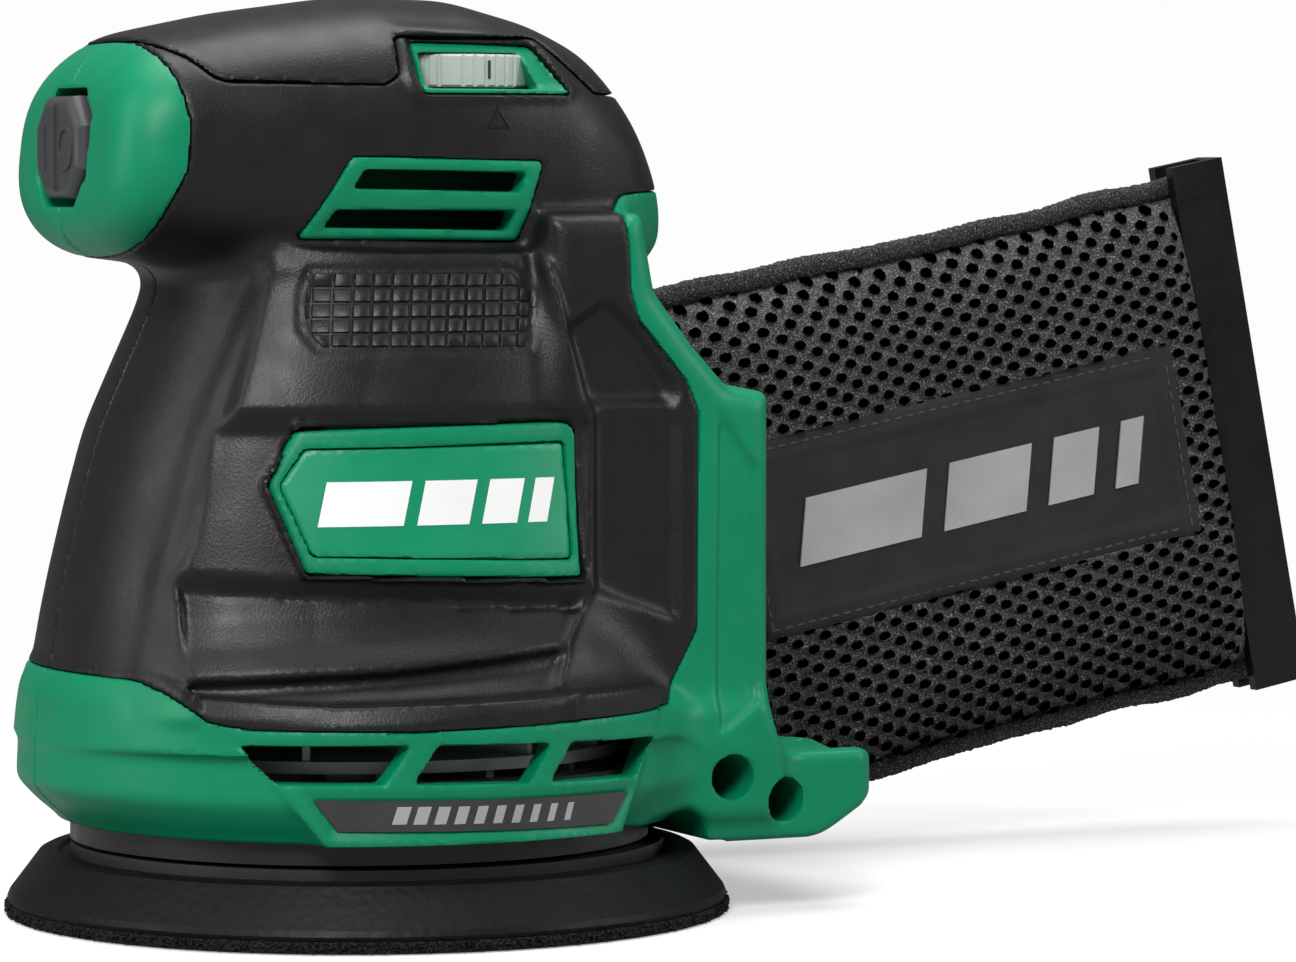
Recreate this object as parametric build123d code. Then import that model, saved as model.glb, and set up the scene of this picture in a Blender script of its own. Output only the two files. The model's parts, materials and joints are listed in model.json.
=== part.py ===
from build123d import *

import math
import os

# Cordless random-orbit palm sander with a side dust bag.
# Frame: origin on the motor axis at the pad's working face, +Z up, -X towards the switch nose,
# +X towards the battery dock and the bag, -Y the side with the speed dial. Millimetres.

# ---------------------------------------------------------------- driving dimensions
PAD_R = 62.5  # 125 mm pad
ORBIT = 1.5  # eccentricity, half of the 3 mm orbit
SKIN = 1.3  # soft overmould
WALL = 3.7  # overmould and housing together
GAP = 0.3

# pad stack, heights above the work
HOOK_T = 2.0
FOAM_TOP_R = 56.5
FOAM_TOP = 11.0
PLATE_R = 51.5
PLATE_Z = 8.0
PLATE_TOP = 11.5
BRAKE_TRACK_TOP = 12.5
HUB_TOP = 15.0
HOLE_CIRCLE_R = 32.5
DUST_HOLE_R = 4.5
PAD_SCREW_CIRCLE_R = 10.0

# housing
BODY_BOTTOM = 17.0
BUMPER_EDGE = 24.0
BUMPER_TOP = 40.0
BORE_R = 50.3
DOCK_X = 62.0
DOCK_HALF = 37.5
DOCK_FLOOR_X = 55.0
RAIL_LIP = 2.0
RAIL_HALF = 31.0
RAIL_INNER = 27.0
DOCK_STOP_Z = 32.0
DOCK_TOP_Z = 90.0

# drive line
SHAFT_R = 4.0
FAN_R = 46.0
FAN_DISC_Z = 28.0
FAN_DISC_T = 2.0
STATOR_R = 25.0
STATOR_Z = 50.0
STATOR_H = 24.0
ROTOR_R = 12.6
SPINDLE_R = 5.0
CUP_TOP = 36.0
END_RIB_Z = 81.0
END_CAP_Z = 85.0
END_SCREW_R = 25.6

# speed dial and switch
DIAL_R = 15.0
DIAL_T = 5.6
DIAL_X = 10.0
DIAL_Y = -14.5
DIAL_Z = 142.2
SWITCH_Z = 132.0
SWITCH_W = 22.0
SWITCH_H = 17.4
SWITCH_FRONT_X = -55.2
SWITCH_PIVOT_X = -45.0

# dust outlet and bag
BAG_TILT = 11.0
OUTLET_START = (36.0, 52.5, 31.0)
OUTLET_R = 12.0
OUTLET_BORE_R = 10.0
OUTLET_BACK = 20.0
OUTLET_LEN = 47.0
BAG_FROM = 54.0
BAG_L = 116.0
BAG_H = 101.0
BAG_T = 28.0
BAG_RISE = 14.3
BAG_TAPER = 11.0
PATCH_RISE = 15.9
PATCH_H = 37.0
CLIP_W = 11.5
CLIP_T = 9.0
CLIP_L = 104.6
TAIL_T = 3.6
TAIL_L = 8.0


# ---------------------------------------------------------------- helpers
def save(name, shape, label=None):
    """Writes one node's STEP."""
    shape.label = label or name
    export_step(shape, f"parts/{name}.step")


def fused(shapes):
    """One shape from many that touch or overlap."""
    shapes = list(shapes)
    return shapes[0].fuse(*shapes[1:]) if len(shapes) > 1 else shapes[0]


def group(shapes):
    """Separate solids that share a node."""
    return Compound(children=[s for shape in shapes for s in shape.solids()])


def disc(radius, z0, z1, x=0.0, y=0.0):
    return Pos(x, y, (z0 + z1) / 2) * Cylinder(radius, z1 - z0)


def ring(outer, inner, z0, z1, x=0.0, y=0.0):
    return disc(outer, z0, z1, x, y) - disc(inner, z0 - 1, z1 + 1, x, y)


def block(x0, x1, y0, y1, z0, z1):
    size = (x1 - x0, y1 - y0, z1 - z0)
    return Pos((x0 + x1) / 2, (y0 + y1) / 2, (z0 + z1) / 2) * Box(*size)


def side_prism(points, y0, y1):
    """A side-view outline of (x, z) points, extruded from y0 to y1."""
    outline = Polyline(*[(x, 0, z) for x, z in points], close=True)
    face = make_face(outline)
    return Pos(0, y0, 0) * extrude(face, y1 - y0, dir=(0, 1, 0))


def oval(half_u, half_v, power, count=12):
    """Points of a superellipse, starting on +u."""
    points = []
    for i in range(count):
        t = 2 * math.pi * i / count
        c, s = math.cos(t), math.sin(t)
        u = half_u * math.copysign(abs(c) ** (2 / power), c)
        v = half_v * math.copysign(abs(s) ** (2 / power), s)
        points.append((u, v))
    return points


def plan_face(z, x_front, x_rear, half_width, power, inset):
    """A horizontal section of the body, drawn in by inset."""
    cx = (x_front + x_rear) / 2
    pts = oval((x_rear - x_front) / 2 - inset, half_width - inset, power)
    wire = Spline(*[(cx + u, v, z) for u, v in pts], periodic=True)
    return make_face(wire)


def head_face(x, half_width, z_low, z_high, power, inset):
    """An upright cross-section of the head, drawn in by inset."""
    cz = (z_low + z_high) / 2
    pts = oval(half_width - inset, (z_high - z_low) / 2 - inset, power)
    wire = Spline(*[(x, u, cz + v) for u, v in pts], periodic=True)
    return make_face(wire)


def along_bag(u, v, y=OUTLET_START[1]):
    """Row-frame point u along the bag's axis from the outlet's start and v above that axis."""
    tilt = math.radians(BAG_TILT)
    x = OUTLET_START[0] + u * math.cos(tilt) - v * math.sin(tilt)
    z = OUTLET_START[2] + u * math.sin(tilt) + v * math.cos(tilt)
    return (x, y, z)


BAG_PLANE = Plane(
    origin=OUTLET_START,
    x_dir=(0, 1, 0),
    z_dir=(math.cos(math.radians(BAG_TILT)), 0, math.sin(math.radians(BAG_TILT))),
)


def bag_tube(radius, u0, u1, y=0.0, v=0.0):
    """A cylinder along the bag's axis, from u0 to u1."""
    # BAG_PLANE's own x is +Y and its y is the bag's upward side
    return BAG_PLANE * Pos(y, v, (u0 + u1) / 2) * Cylinder(radius, u1 - u0)


def bag_block(u0, u1, y0, y1, v0, v1):
    size = (y1 - y0, v1 - v0, u1 - u0)
    return BAG_PLANE * Pos((y0 + y1) / 2, (v0 + v1) / 2, (u0 + u1) / 2) * Box(*size)


# ---------------------------------------------------------------- outer form
# body sections: z, front x, rear x, half width
WAIST = [
    (BUMPER_TOP, -58.3, 56.0, 55.8),
    (47.0, -56.6, 54.0, 47.5),
    (56.0, -54.8, 52.0, 42.6),
    (70.0, -51.4, 50.0, 40.0),
    (86.0, -46.8, 49.0, 38.2),
    (100.0, -40.6, 47.5, 36.2),
    (114.0, -37.0, 45.5, 33.5),
]
# head stations: x, half width, lowest z, highest z
HEAD = [
    (-53.6, 25.2, 117.6, 146.0),
    (-51.2, 28.4, 115.0, 148.4),
    (-42.0, 30.4, 112.6, 151.6),
    (-26.0, 32.2, 109.6, 154.8),
    (-6.0, 33.8, 107.5, 157.6),
    (12.0, 34.0, 106.5, 157.4),
    (30.0, 31.4, 106.5, 152.0),
    (42.0, 26.6, 107.5, 141.6),
    (49.0, 19.0, 111.0, 127.0),
]
BODY_POWER = 2.3
HEAD_POWER = 2.45


def waist(inset):
    """Inset forms run on past both ends, inside the bumper and the head."""
    faces = [plan_face(z, f, r, w, BODY_POWER, inset) for z, f, r, w in WAIST]
    low = extrude(faces[0], 2.0 + inset, dir=(0, 0, -1))
    top = extrude(faces[-1], 1.0 + inset, dir=(0, 0, 1))
    return fused([loft(faces), low, top])


def bumper(inset):
    """The ring that guards the pad's drive: a chamfered band under the waist."""
    low = plan_face(BODY_BOTTOM, -52.0, 52.5, 52.6, 2, inset)
    edge = plan_face(BUMPER_EDGE, -59.8, 59.0, 57.6, 2, inset)
    top = plan_face(BUMPER_TOP, -58.6, 57.0, 56.2, 2, inset)
    return fused([loft([low, edge], ruled=True), loft([edge, top], ruled=True)])


def head(inset):
    faces = []
    for i, (x, w, low, high) in enumerate(HEAD):
        end = inset if i == 0 else (-inset if i == len(HEAD) - 1 else 0)
        faces.append(head_face(x + end, w, low, high, HEAD_POWER, inset))
    return loft(faces)


def dock(inset):
    """The battery dock behind the waist, with its shoulder up to the head."""
    i = inset
    outline = [
        (20 + i, 27 + i),
        (59 - i, 27 + i),
        (DOCK_X - i, 31 + i),
        (DOCK_X - i, DOCK_TOP_Z - i),
        (54 - i, 91.5 - i),
        (47.5 - i, 98.5 - i),
        (40.5 - i, 107.5 - i),
        (38 - i, 121 - i),
        (20 + i, 121 - i),
    ]
    body = side_prism(outline, -DOCK_HALF + i, DOCK_HALF - i)
    upright = body.edges().filter_by(Axis.Z).group_by(Axis.X)[-1]
    return fillet(upright, 4.0 - i * 0.5)


def foot():
    """The shelf that guards the battery's lower end."""
    plan = Polyline(
        (50, -36), (80, -36), (82, -34.5), (88, 0), (82, 34.5), (80, 36), (50, 36), close=True
    )
    slab = Pos(0, 0, 12.5) * extrude(make_face(plan), 15.0, dir=(0, 0, 1))
    under = side_prism([(72, 10), (90, 10), (90, 22.5), (84, 20.5)], -40, 40)
    dish = Pos(82, 0, 44) * Rot(90, 0, 0) * Cylinder(18.6, 60)
    return slab - under - dish - disc(PAD_R + ORBIT, 0, BODY_BOTTOM - 4.0)


def bumper_panel():
    """The raised panel round the lower window, on both sides."""
    zone = side_prism([(-44.5, 41), (-27, 17.2), (26.5, 17.2), (38, 41)], -70, 70)
    band = plan_face(BODY_BOTTOM, -59.8, 59.0, 58.2, 2, 0)
    column = extrude(band, 24.0, dir=(0, 0, 1))
    keep = block(-60, 60, 20, 70, 17, 41) + block(-60, 60, -70, -20, 17, 41)
    return column & zone & keep


BADGE = [(-27.2, 85), (21.0, 85.8), (22.6, 84.5), (24, 59.5), (-25.8, 61.4), (-32.2, 76.2)]
BADGE_Y = 40.6
PLATE = [(-25.9, 82.0), (21.0, 82.5), (22.4, 62.4), (-24.6, 64.0), (-30.4, 76.0)]


def badge_base():
    slab = side_prism(BADGE, -BADGE_Y, -30) + side_prism(BADGE, 30, BADGE_Y)
    return slab


# ---------------------------------------------------------------- side-view zones
# the soft overmould, both sides, from the nose cap's edge to the dock
GRIP_ZONE = [
    (-46.5, 170),
    (-45.6, 150),
    (-43.4, 143),
    (-42.2, 136),
    (-42.6, 128.5),
    (-45.6, 121.6),
    (-48.5, 112),
    (-60, 112),
    (-66, 44),
    (-51, 43.6),
    (-47, 40.6),
    (40.5, 40.6),
    (47.5, 50.0),
    (48.0, 88.0),
    (44.5, 93.5),
    (36.5, 103.5),
    (35.0, 108.0),
    (34.3, 120.0),
    (37.0, 124.0),
    (70, 126),
    (70, 170),
]
# the palm pad on top of the head
TOP_ZONE = [
    (-48, 152),
    (-44, 149),
    (-40.5, 146.8),
    (-37, 143.4),
    (-35, 142.8),
    (-8, 142.5),
    (-5.5, 144),
    (-4.7, 150.6),
    (23.0, 150.6),
    (30.0, 143.5),
    (32.5, 141.2),
    (60, 140.6),
    (60, 170),
    (-48, 170),
]
VENT = [(-14.6, 130.4), (20.6, 129.8), (16.9, 116.2), (-22.6, 116.6)]
DIAL_FRAME = [(-1.5, 149.6), (21.5, 149.2), (26.5, 141.0), (-1.5, 141.0)]
DIAL_WINDOW = [(-0.5, 148.2), (18.6, 148.2), (21.0, 141.8), (-0.5, 141.8)]
VENT_SLOTS = [
    [(-12.2, 128.4), (17.2, 127.8), (16.0, 124.6), (-14.0, 125.2)],
    [(-16.5, 121.6), (15.8, 121.4), (14.8, 118.1), (-18.2, 118.7)],
]
LOWER_WINDOWS = [
    [(-39.4, 33.8), (-34.0, 27.6), (-17.8, 27.6), (-13.6, 33.8)],
    [(-9.2, 33.7), (-13.4, 27.4), (6.9, 27.0), (11.4, 33.4)],
    [(15.4, 33.2), (11.0, 26.9), (29.6, 26.4), (34.6, 32.6)],
]
LABEL = [(-28.9, 25.0), (-25.4, 19.9), (23.8, 19.0), (27.8, 24.0)]

# housing screws: x, z, side of the head (+1 is the far side, -1 the dial side)
SCREWS = [
    (-46.5, 50.0, 1),
    (-31.0, 97.0, 1),
    (31.0, 112.0, 1),
    (45.5, 40.0, 1),
    (53.5, 24.0, -1),
    (64.5, 19.5, -1),
]
BOSS_R = 4.6
WELL_R = 3.9
PILOT_R = 1.7
SCREW_HEAD_Y = 15.0


def both_sides(outlines, y0, y1):
    """Side-view outlines as cutters on each side, between |y| y0 and y1."""
    cutters = []
    for outline in outlines:
        cutters += [side_prism(outline, -y1, -y0), side_prism(outline, y0, y1)]
    return cutters


def along_y(radius, x, z, y0, y1):
    return Pos(x, (y0 + y1) / 2, z) * Rot(90, 0, 0) * Cylinder(radius, y1 - y0)


def cavity():
    """The room inside the housing, open at the bottom."""
    mouth = disc(BORE_R, BODY_BOTTOM - 2, 22)
    drum = disc(53.6, 21, BUMPER_TOP + 0.5)
    dock_room = block(20, DOCK_FLOOR_X - 3, -33.6, 33.6, 33, 88)
    shoulder = block(20, 40, -31, 31, 80, 99)
    return fused([mouth, drum, waist(WALL), head(WALL), dock_room, shoulder])


def seats():
    """Ribs that carry the motor, its bracket, the controller tray and the dial's board."""
    ribs = [
        (36.6, 38.0, 33.0, 51),
        (56.0, 58.0, STATOR_R, 33),
        (68.0, 70.0, STATOR_R, 33),
        (END_RIB_Z, END_CAP_Z, 23.5, 33),
    ]
    walls = []
    for z0, z1, radius, rear in ribs:
        walls.append(block(-70, rear, -60, 60, z0, z1) - disc(radius, z0 - 1, z1 + 1))
    walls[-1] = walls[-1] - group(end_cap_screw_holes())
    walls.append(block(-70, 33, -60, 60, 95.5, 97.5) - block(-26, 24, -12, 12, 90, 99))
    walls.append(block(0, 20, -40, -16, 130.8, 132.4))
    walls.append(block(-22, 30, -1.2, 1.2, 112, 131))
    for z0, z1 in ((121.0, SWITCH_Z - 8), (SWITCH_Z + 8, 143.0)):
        walls.append(block(-60, -29, -40, 40, z0, z1))
    return walls


def end_cap_screw_places():
    for i in range(3):
        t = math.radians(120 * i + 30)
        yield END_SCREW_R * math.cos(t), END_SCREW_R * math.sin(t)


def end_cap_screw_holes():
    return [disc(1.45, END_RIB_Z - 1, END_CAP_Z + 3, x, y) for x, y in end_cap_screw_places()]


def well_cutters():
    """Pilot holes and head wells for the housing screws."""
    cutters = []
    for x, z, side in SCREWS:
        cutters.append(along_y(PILOT_R, x, z, -16, 16))
        y0, y1 = (SCREW_HEAD_Y, 70) if side > 0 else (-70, -SCREW_HEAD_Y)
        cutters.append(along_y(WELL_R, x, z, y0, y1))
    return cutters


def dock_recess():
    """The slot that the battery's rails slide down, between the cheeks."""
    slot = block(DOCK_FLOOR_X, DOCK_X + 5, -RAIL_HALF, RAIL_HALF, DOCK_STOP_Z, 140)
    lip_x = DOCK_X - RAIL_LIP
    for side in (-1, 1):
        y0, y1 = sorted((side * RAIL_INNER, side * (RAIL_HALF + 1)))
        slot = slot - block(lip_x, DOCK_X + 6, y0, y1, DOCK_STOP_Z - 1, 84)
    terminals = block(DOCK_FLOOR_X - 6, DOCK_FLOOR_X + 1, -14.3, 14.3, 43.7, 80.3)
    return slot + terminals


def housing_parts():
    """The two housing halves, their soft overmoulds and the palm pad."""
    envelope = fused([waist(0), bumper(0), head(0), dock(0), foot(), bumper_panel(), badge_base()])
    core = fused([waist(SKIN), head(SKIN), dock(SKIN), badge_base()])
    zone = side_prism(GRIP_ZONE, -80, 80).cut(
        *both_sides([VENT, BADGE], 12, 81), side_prism(DIAL_FRAME, -81, -5)
    )
    over = zone - core
    crown = side_prism(TOP_ZONE, -81, 81)
    wells = well_cutters()
    outlet = bag_tube(OUTLET_R + GAP, -OUTLET_BACK - GAP, OUTLET_LEN + 30)
    skin = envelope & over
    palm = skin & crown
    grip = skin.cut(crown, outlet, *wells)
    bosses = [along_y(BOSS_R, x, z, -40, 40) for x, z, _ in SCREWS]
    room = cavity().cut(*seats(), *bosses)
    blower = fused([disc(FAN_R + 1.5, BODY_BOTTOM - 2, 36.4), disc(BORE_R, BODY_BOTTOM - 2, 22)])
    shell = envelope.cut(over, room).cut(
        blower,
        *both_sides(VENT_SLOTS + LOWER_WINDOWS, 12, 80),
        *both_sides([PLATE], BADGE_Y - 1.2, 60),
        side_prism(DIAL_WINDOW, -80, -10),
        dock_recess(),
        switch_opening(),
        disc(DIAL_R + 0.5, DIAL_Z - 0.5, DIAL_Z + DIAL_T + 0.5, DIAL_X, DIAL_Y),
        outlet,
        label_zone(),
        *wells,
    )
    for node, shape in (("housing", shell), ("grip", grip)):
        for side, y0, y1 in (("left", 0, 100), ("right", -100, 0)):
            half = shape - block(-150, 150, y0, y1, -10, 200)
            save(f"{node}_{side}", group(s for s in half.solids() if s.volume > 40))
    save("palm_pad", group(s for s in palm.solids() if s.volume > 40))


def label_zone():
    band = plan_face(BODY_BOTTOM, -59.8, 59.0, 58.2, 2, 0.8)
    inner = extrude(band, 12.0, dir=(0, 0, 1))
    zone = side_prism(LABEL, -70, -30) + side_prism(LABEL, 30, 70)
    return zone - inner


def trim_parts():
    """Nameplates on the badges and the label strips on the bumper."""
    strip = bumper_panel() & label_zone()
    strip = strip - bag_tube(OUTLET_R + GAP, -OUTLET_BACK, OUTLET_LEN)
    for side, y0, y1 in (("left", -100, 0), ("right", 0, 100)):
        half = block(-150, 150, y0, y1, -10, 200)
        save(f"series_label_{side}", strip & half)
        sign = -1 if side == "left" else 1
        low, high = sorted((sign * (BADGE_Y - 1.2), sign * (BADGE_Y - 0.3)))
        save(f"nameplate_{side}", side_prism(PLATE, low, high))


# ---------------------------------------------------------------- switch and dial
def switch_outline(grow):
    """The rocker's eight-sided outline in the nose face, as a face at x = 0."""
    w, h, c = SWITCH_W / 2 + grow, SWITCH_H / 2 + grow, 5.0
    pts = [(-w + c, -h), (w - c, -h), (w, -h + c), (w, h - c)]
    pts += [(w - c, h), (-w + c, h), (-w, h - c), (-w, -h + c)]
    wire = Polyline(*[(0, y, SWITCH_Z + z) for y, z in pts], close=True)
    return make_face(wire)


def switch_opening():
    return Pos(-70, 0, 0) * extrude(switch_outline(1.3), 24, dir=(1, 0, 0))


def switch_parts():
    cap = Pos(SWITCH_FRONT_X, 0, 0) * extrude(switch_outline(0), -48.0 - SWITCH_FRONT_X, dir=(1, 0, 0))
    front = cap.faces().sort_by(Axis.X)[0]
    cap = fillet(front.edges(), 2.2)
    stem = block(-48, -42.6, -4, 4, SWITCH_Z - 3, SWITCH_Z + 3)
    pin = disc(1.5, SWITCH_Z - 5.5, SWITCH_Z + 5.5, SWITCH_PIVOT_X)
    save("switch_cap", cap)
    save("rocker_arm", stem - disc(1.5, 100, 160, SWITCH_PIVOT_X))
    save("rocker_pin", pin)
    body = block(-46.3, -28, -8, 8, SWITCH_Z - 8, SWITCH_Z + 8)
    mouth = block(-49, -41.0, -6.5, 6.5, SWITCH_Z - 5, SWITCH_Z + 5)
    pin_hole = disc(1.53, SWITCH_Z - 5.6, SWITCH_Z + 5.6, SWITCH_PIVOT_X)
    save("switch_body", body - mouth - pin_hole)
    tabs = [block(-28, -23, y - 2.4, y + 2.4, SWITCH_Z - 0.4, SWITCH_Z + 0.4) for y in (-4.5, 4.5)]
    save("switch_tabs", group(tabs))


def dial_parts():
    wheel = disc(DIAL_R, DIAL_Z, DIAL_Z + DIAL_T, DIAL_X, DIAL_Y)
    wheel = chamfer(wheel.edges().filter_by(GeomType.CIRCLE), 0.4)
    notch_count = 45
    notches = []
    for i in range(notch_count):
        t = 2 * math.pi * (i + 0.5) / notch_count
        if i % 7 == 3:  # smooth places between the ribs, for the numbers
            continue
        x = DIAL_X + (DIAL_R + 0.25) * math.cos(t)
        y = DIAL_Y + (DIAL_R + 0.25) * math.sin(t)
        notches.append(disc(0.55, DIAL_Z - 1, DIAL_Z + DIAL_T + 1, x, y))
    wheel = wheel - group(notches) - disc(2.0, DIAL_Z - 1, DIAL_Z + 4, DIAL_X, DIAL_Y)
    save("speed_dial", wheel)
    save("dial_spindle", disc(2.0, 134.0, DIAL_Z + 4, DIAL_X, DIAL_Y))
    pot = block(DIAL_X - 6, DIAL_X + 6, DIAL_Y - 5, DIAL_Y + 6, 134.0, 140.0)
    save("speed_potentiometer", pot - disc(2.03, 133, 141, DIAL_X, DIAL_Y))
    save("dial_board", block(DIAL_X - 9, DIAL_X + 9, DIAL_Y - 6, DIAL_Y + 14, 132.4, 134.0))


# ---------------------------------------------------------------- drive line
def bearing(x, outer, inner, z0, z1):
    """Outer ring, inner ring and balls of a deep-groove bearing."""
    mid, step = (outer + inner) / 2, (outer - inner) / 2
    race, zc = step * 0.36, (z0 + z1) / 2
    ball_r = step * 0.42
    outer_ring = ring(outer, mid + race, z0, z1, x)
    inner_ring = ring(mid - race, inner, z0, z1, x)
    groove = Pos(x, 0, zc) * Torus(mid, ball_r + 0.02)
    count = 8
    balls = []
    for i in range(count):
        t = 2 * math.pi * i / count
        balls.append(Pos(x + mid * math.cos(t), mid * math.sin(t), zc) * Sphere(ball_r))
    return group([outer_ring - groove, inner_ring - groove, *balls])


def drive_parts():
    bore = disc(2.1, 36.0, 44.0)
    shaft = disc(SHAFT_R, CUP_TOP + 1, 93.0) + disc(7.0, 46.8, 49.2)
    save("motor_shaft", shaft - bore)
    magnets, count = [], 8
    magnet_ring = ring(ROTOR_R, ROTOR_R - 2.0, STATOR_Z + 1, STATOR_Z + STATOR_H - 1)
    for i in range(count):
        wedge = block(0, 20, -3.9, 3.9, STATOR_Z, STATOR_Z + STATOR_H)
        magnets.append(magnet_ring & (Rot(0, 0, i * 360 / count) * wedge))
    save("rotor_magnets", group(magnets))
    save("rotor_core", ring(ROTOR_R - 2.0, SHAFT_R, STATOR_Z + 1, STATOR_Z + STATOR_H - 1))
    save("motor_bearing_lower", bearing(0, 11.0, SHAFT_R + 0.02, 39.6, 46.6))
    save("motor_bearing_upper", bearing(0, 11.0, SHAFT_R + 0.02, 85.0, 92.0))
    save("fan", fan())
    save("counterweight", counterweight())
    hub = ring(17.0, 13.0, 20.5, CUP_TOP, ORBIT) + disc(17.0, CUP_TOP, CUP_TOP + 2, ORBIT)
    hub = hub + disc(6.5, CUP_TOP, CUP_TOP + 3.4)
    hub = hub - disc(SHAFT_R, CUP_TOP + 1, 41.0) - disc(2.2, 30, 42)
    save("eccentric_hub", hub)
    save("drive_screw", disc(2.1, CUP_TOP - 0.1, 43.0) + disc(3.8, CUP_TOP - 3.4, CUP_TOP))
    save("pad_bearing_lower", bearing(ORBIT, 13.0, SPINDLE_R + 0.02, 21.0, 26.0))
    save("pad_bearing_upper", bearing(ORBIT, 13.0, SPINDLE_R + 0.02, 26.4, 31.4))
    save("bearing_clip", ring(12.9, 11.4, 20.5, 21.0, ORBIT))


def fan():
    """Two-sided fan: cooling blades above the disc, dust blades below it."""
    top, low = FAN_DISC_Z + FAN_DISC_T, FAN_DISC_Z
    body = ring(FAN_R, 17.0, low, top, 0.0) - disc(17.0, 20, 40, ORBIT)
    body = body + (ring(20.5, 16.0, 22.0, 35.5) - disc(17.0, 20, 40, ORBIT))
    blades, count = [], 14
    for i in range(count):
        turn = Rot(0, 0, 360 * i / count)
        upper = Pos(32.5, 0, (top + 35.5) / 2) * Rot(0, 0, 18) * Box(25, 1.3, 35.5 - top)
        lower = Pos(32.0, 0, (21.0 + low) / 2) * Rot(0, 0, -18) * Box(24, 1.3, low - 21.0)
        blades += [turn * upper, turn * lower]
    return fused([body, *[b & disc(FAN_R, 20, 36) for b in blades]])


def counterweight():
    """Half ring of steel under the disc, opposite the pad's offset."""
    half = block(-30, -4, -30, 30, 22.2, 27.6)
    band = ring(28.0, 20.9, 22.2, 27.6) & half
    cuts = []
    for i in range(14):
        turn = Rot(0, 0, 360 * i / 14)
        cuts.append(turn * Pos(32.0, 0, 24.5) * Rot(0, 0, -18) * Box(25, 1.9, 8))
    return group((band - group(cuts)).solids())


def motor_parts():
    slots, teeth = 9, []
    core = ring(STATOR_R - 0.05, STATOR_R - 4.0, STATOR_Z, STATOR_Z + STATOR_H)
    for i in range(slots):
        turn = Rot(0, 0, 360 * i / slots)
        stem = block(14.4, STATOR_R - 3, -2.0, 2.0, STATOR_Z, STATOR_Z + STATOR_H)
        teeth.append(turn * stem)
    shoe = ring(15.0, 13.2, STATOR_Z, STATOR_Z + STATOR_H)
    gaps = [
        Rot(0, 0, 360 * (i + 0.5) / slots) * block(10, 16, -1.1, 1.1, STATOR_Z - 1, 80)
        for i in range(slots)
    ]
    save("motor_stator", fused([core, shoe - group(gaps), *teeth]))
    coils = []
    for i in range(slots):
        outer = block(15.4, 20.6, -3.6, 3.6, STATOR_Z - 2.4, STATOR_Z + STATOR_H + 2.4)
        inner = block(14, 22, -2.05, 2.05, STATOR_Z - 0.05, STATOR_Z + STATOR_H + 0.05)
        coils.append(Rot(0, 0, 360 * i / slots) * (outer - inner))
    wedge_limit = [c & (disc(20.6, 40, 90) - disc(15.2, 40, 90)) for c in coils]
    save("stator_windings", group(wedge_limit))
    plate = disc(36.0, 38.0, 41.0) + disc(14.5, 38.0, 46.6)
    windows = []
    for i in range(6):
        windows.append(Rot(0, 0, 60 * i) * Pos(26.5, 0, 39) * Cylinder(6.0, 6))
    plate = plate - disc(11.0, 39.6, 47) - disc(8.0, 37, 40) - disc(19.2, 35, 38.6)
    save("motor_bracket", plate - group(windows))
    cap = disc(29.0, END_CAP_Z, END_CAP_Z + 2) + disc(14.0, END_CAP_Z, 93.5)
    cap = cap - disc(11.0, 84, 92) - disc(6.0, 84, 95)
    openings = [Rot(0, 0, 60 * i) * Pos(19.0, 0, 86) * Cylinder(3.9, 6) for i in range(6)]
    save("motor_end_cap", cap - group(openings) - group(end_cap_screw_holes()))
    screws = []
    for x, y in end_cap_screw_places():
        shank = disc(1.4, END_RIB_Z, END_CAP_Z + 2, x, y)
        screws.append(shank + disc(2.6, END_CAP_Z + 2, END_CAP_Z + 3.8, x, y))
    save("end_cap_screws", group(screws))


# ---------------------------------------------------------------- electronics
def electronic_parts():
    tray = block(-20, 30, -19, 19, 97.5, 103.8) - block(-18.6, 28.6, -17.6, 17.6, 98.7, 105)
    save("controller_tray", tray)
    save("controller_board", block(-18.4, 28.4, -17.4, 17.4, 100.0, 101.6))
    chips = [block(x, x + 6, y, y + 7, 101.6, 103.6) for x in (-16, -8, 0) for y in (-15, 8)]
    cans = [disc(4.0, 101.6, 110.0, 16, y) for y in (-9, 0, 9)]
    save("board_components", group(chips + cans))
    x = DOCK_FLOOR_X
    holder = block(x - 3.6, x, -14, 14, 44, 80) + block(x, x + 5, -11, 11, 46, 78)
    slots = [block(x + 1, x + 7, y - 1.8, y + 1.8, 48, 70) for y in (-7.5, 0, 7.5)]
    save("terminal_block", holder - group(slots))
    blades = [block(x + 1, x + 5, y - 0.4, y + 0.4, 50, 68) for y in (-7.5, 0, 7.5)]
    save("terminal_blades", group(blades))
    save("battery_leads", leads(1.4, [(-5, -9), (5, 9)], battery_lead_route))
    save("motor_leads", leads(1.0, [(-2.5, -2.5), (0, 0), (2.5, 2.5)], motor_lead_route))


def battery_lead_route(y, end_y):
    """From the back of the terminal block up to the controller board."""
    x = DOCK_FLOOR_X - 3.6
    return [(x, y, 74), (37, y, 74), (37, y, 105.5), (24, end_y, 105.5), (24, end_y, 101.7)]


def motor_lead_route(y, end_y):
    """From above the windings, through the end cap, to the controller board."""
    low = [(-19, y, 77), (-19, y, 88.5), (-22.8, y, 94)]
    return low + [(-22.8, y, 107), (-15, end_y, 107), (-15, end_y, 101.7)]


def leads(radius, ends, route):
    wires = []
    for start, end in ends:
        points = route(start, end)
        line = FilletPolyline(*points, radius=2.2)
        section = Plane(line @ 0, z_dir=line % 0) * Circle(radius)
        wires.append(sweep(section, path=line))
    return group(wires)


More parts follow.
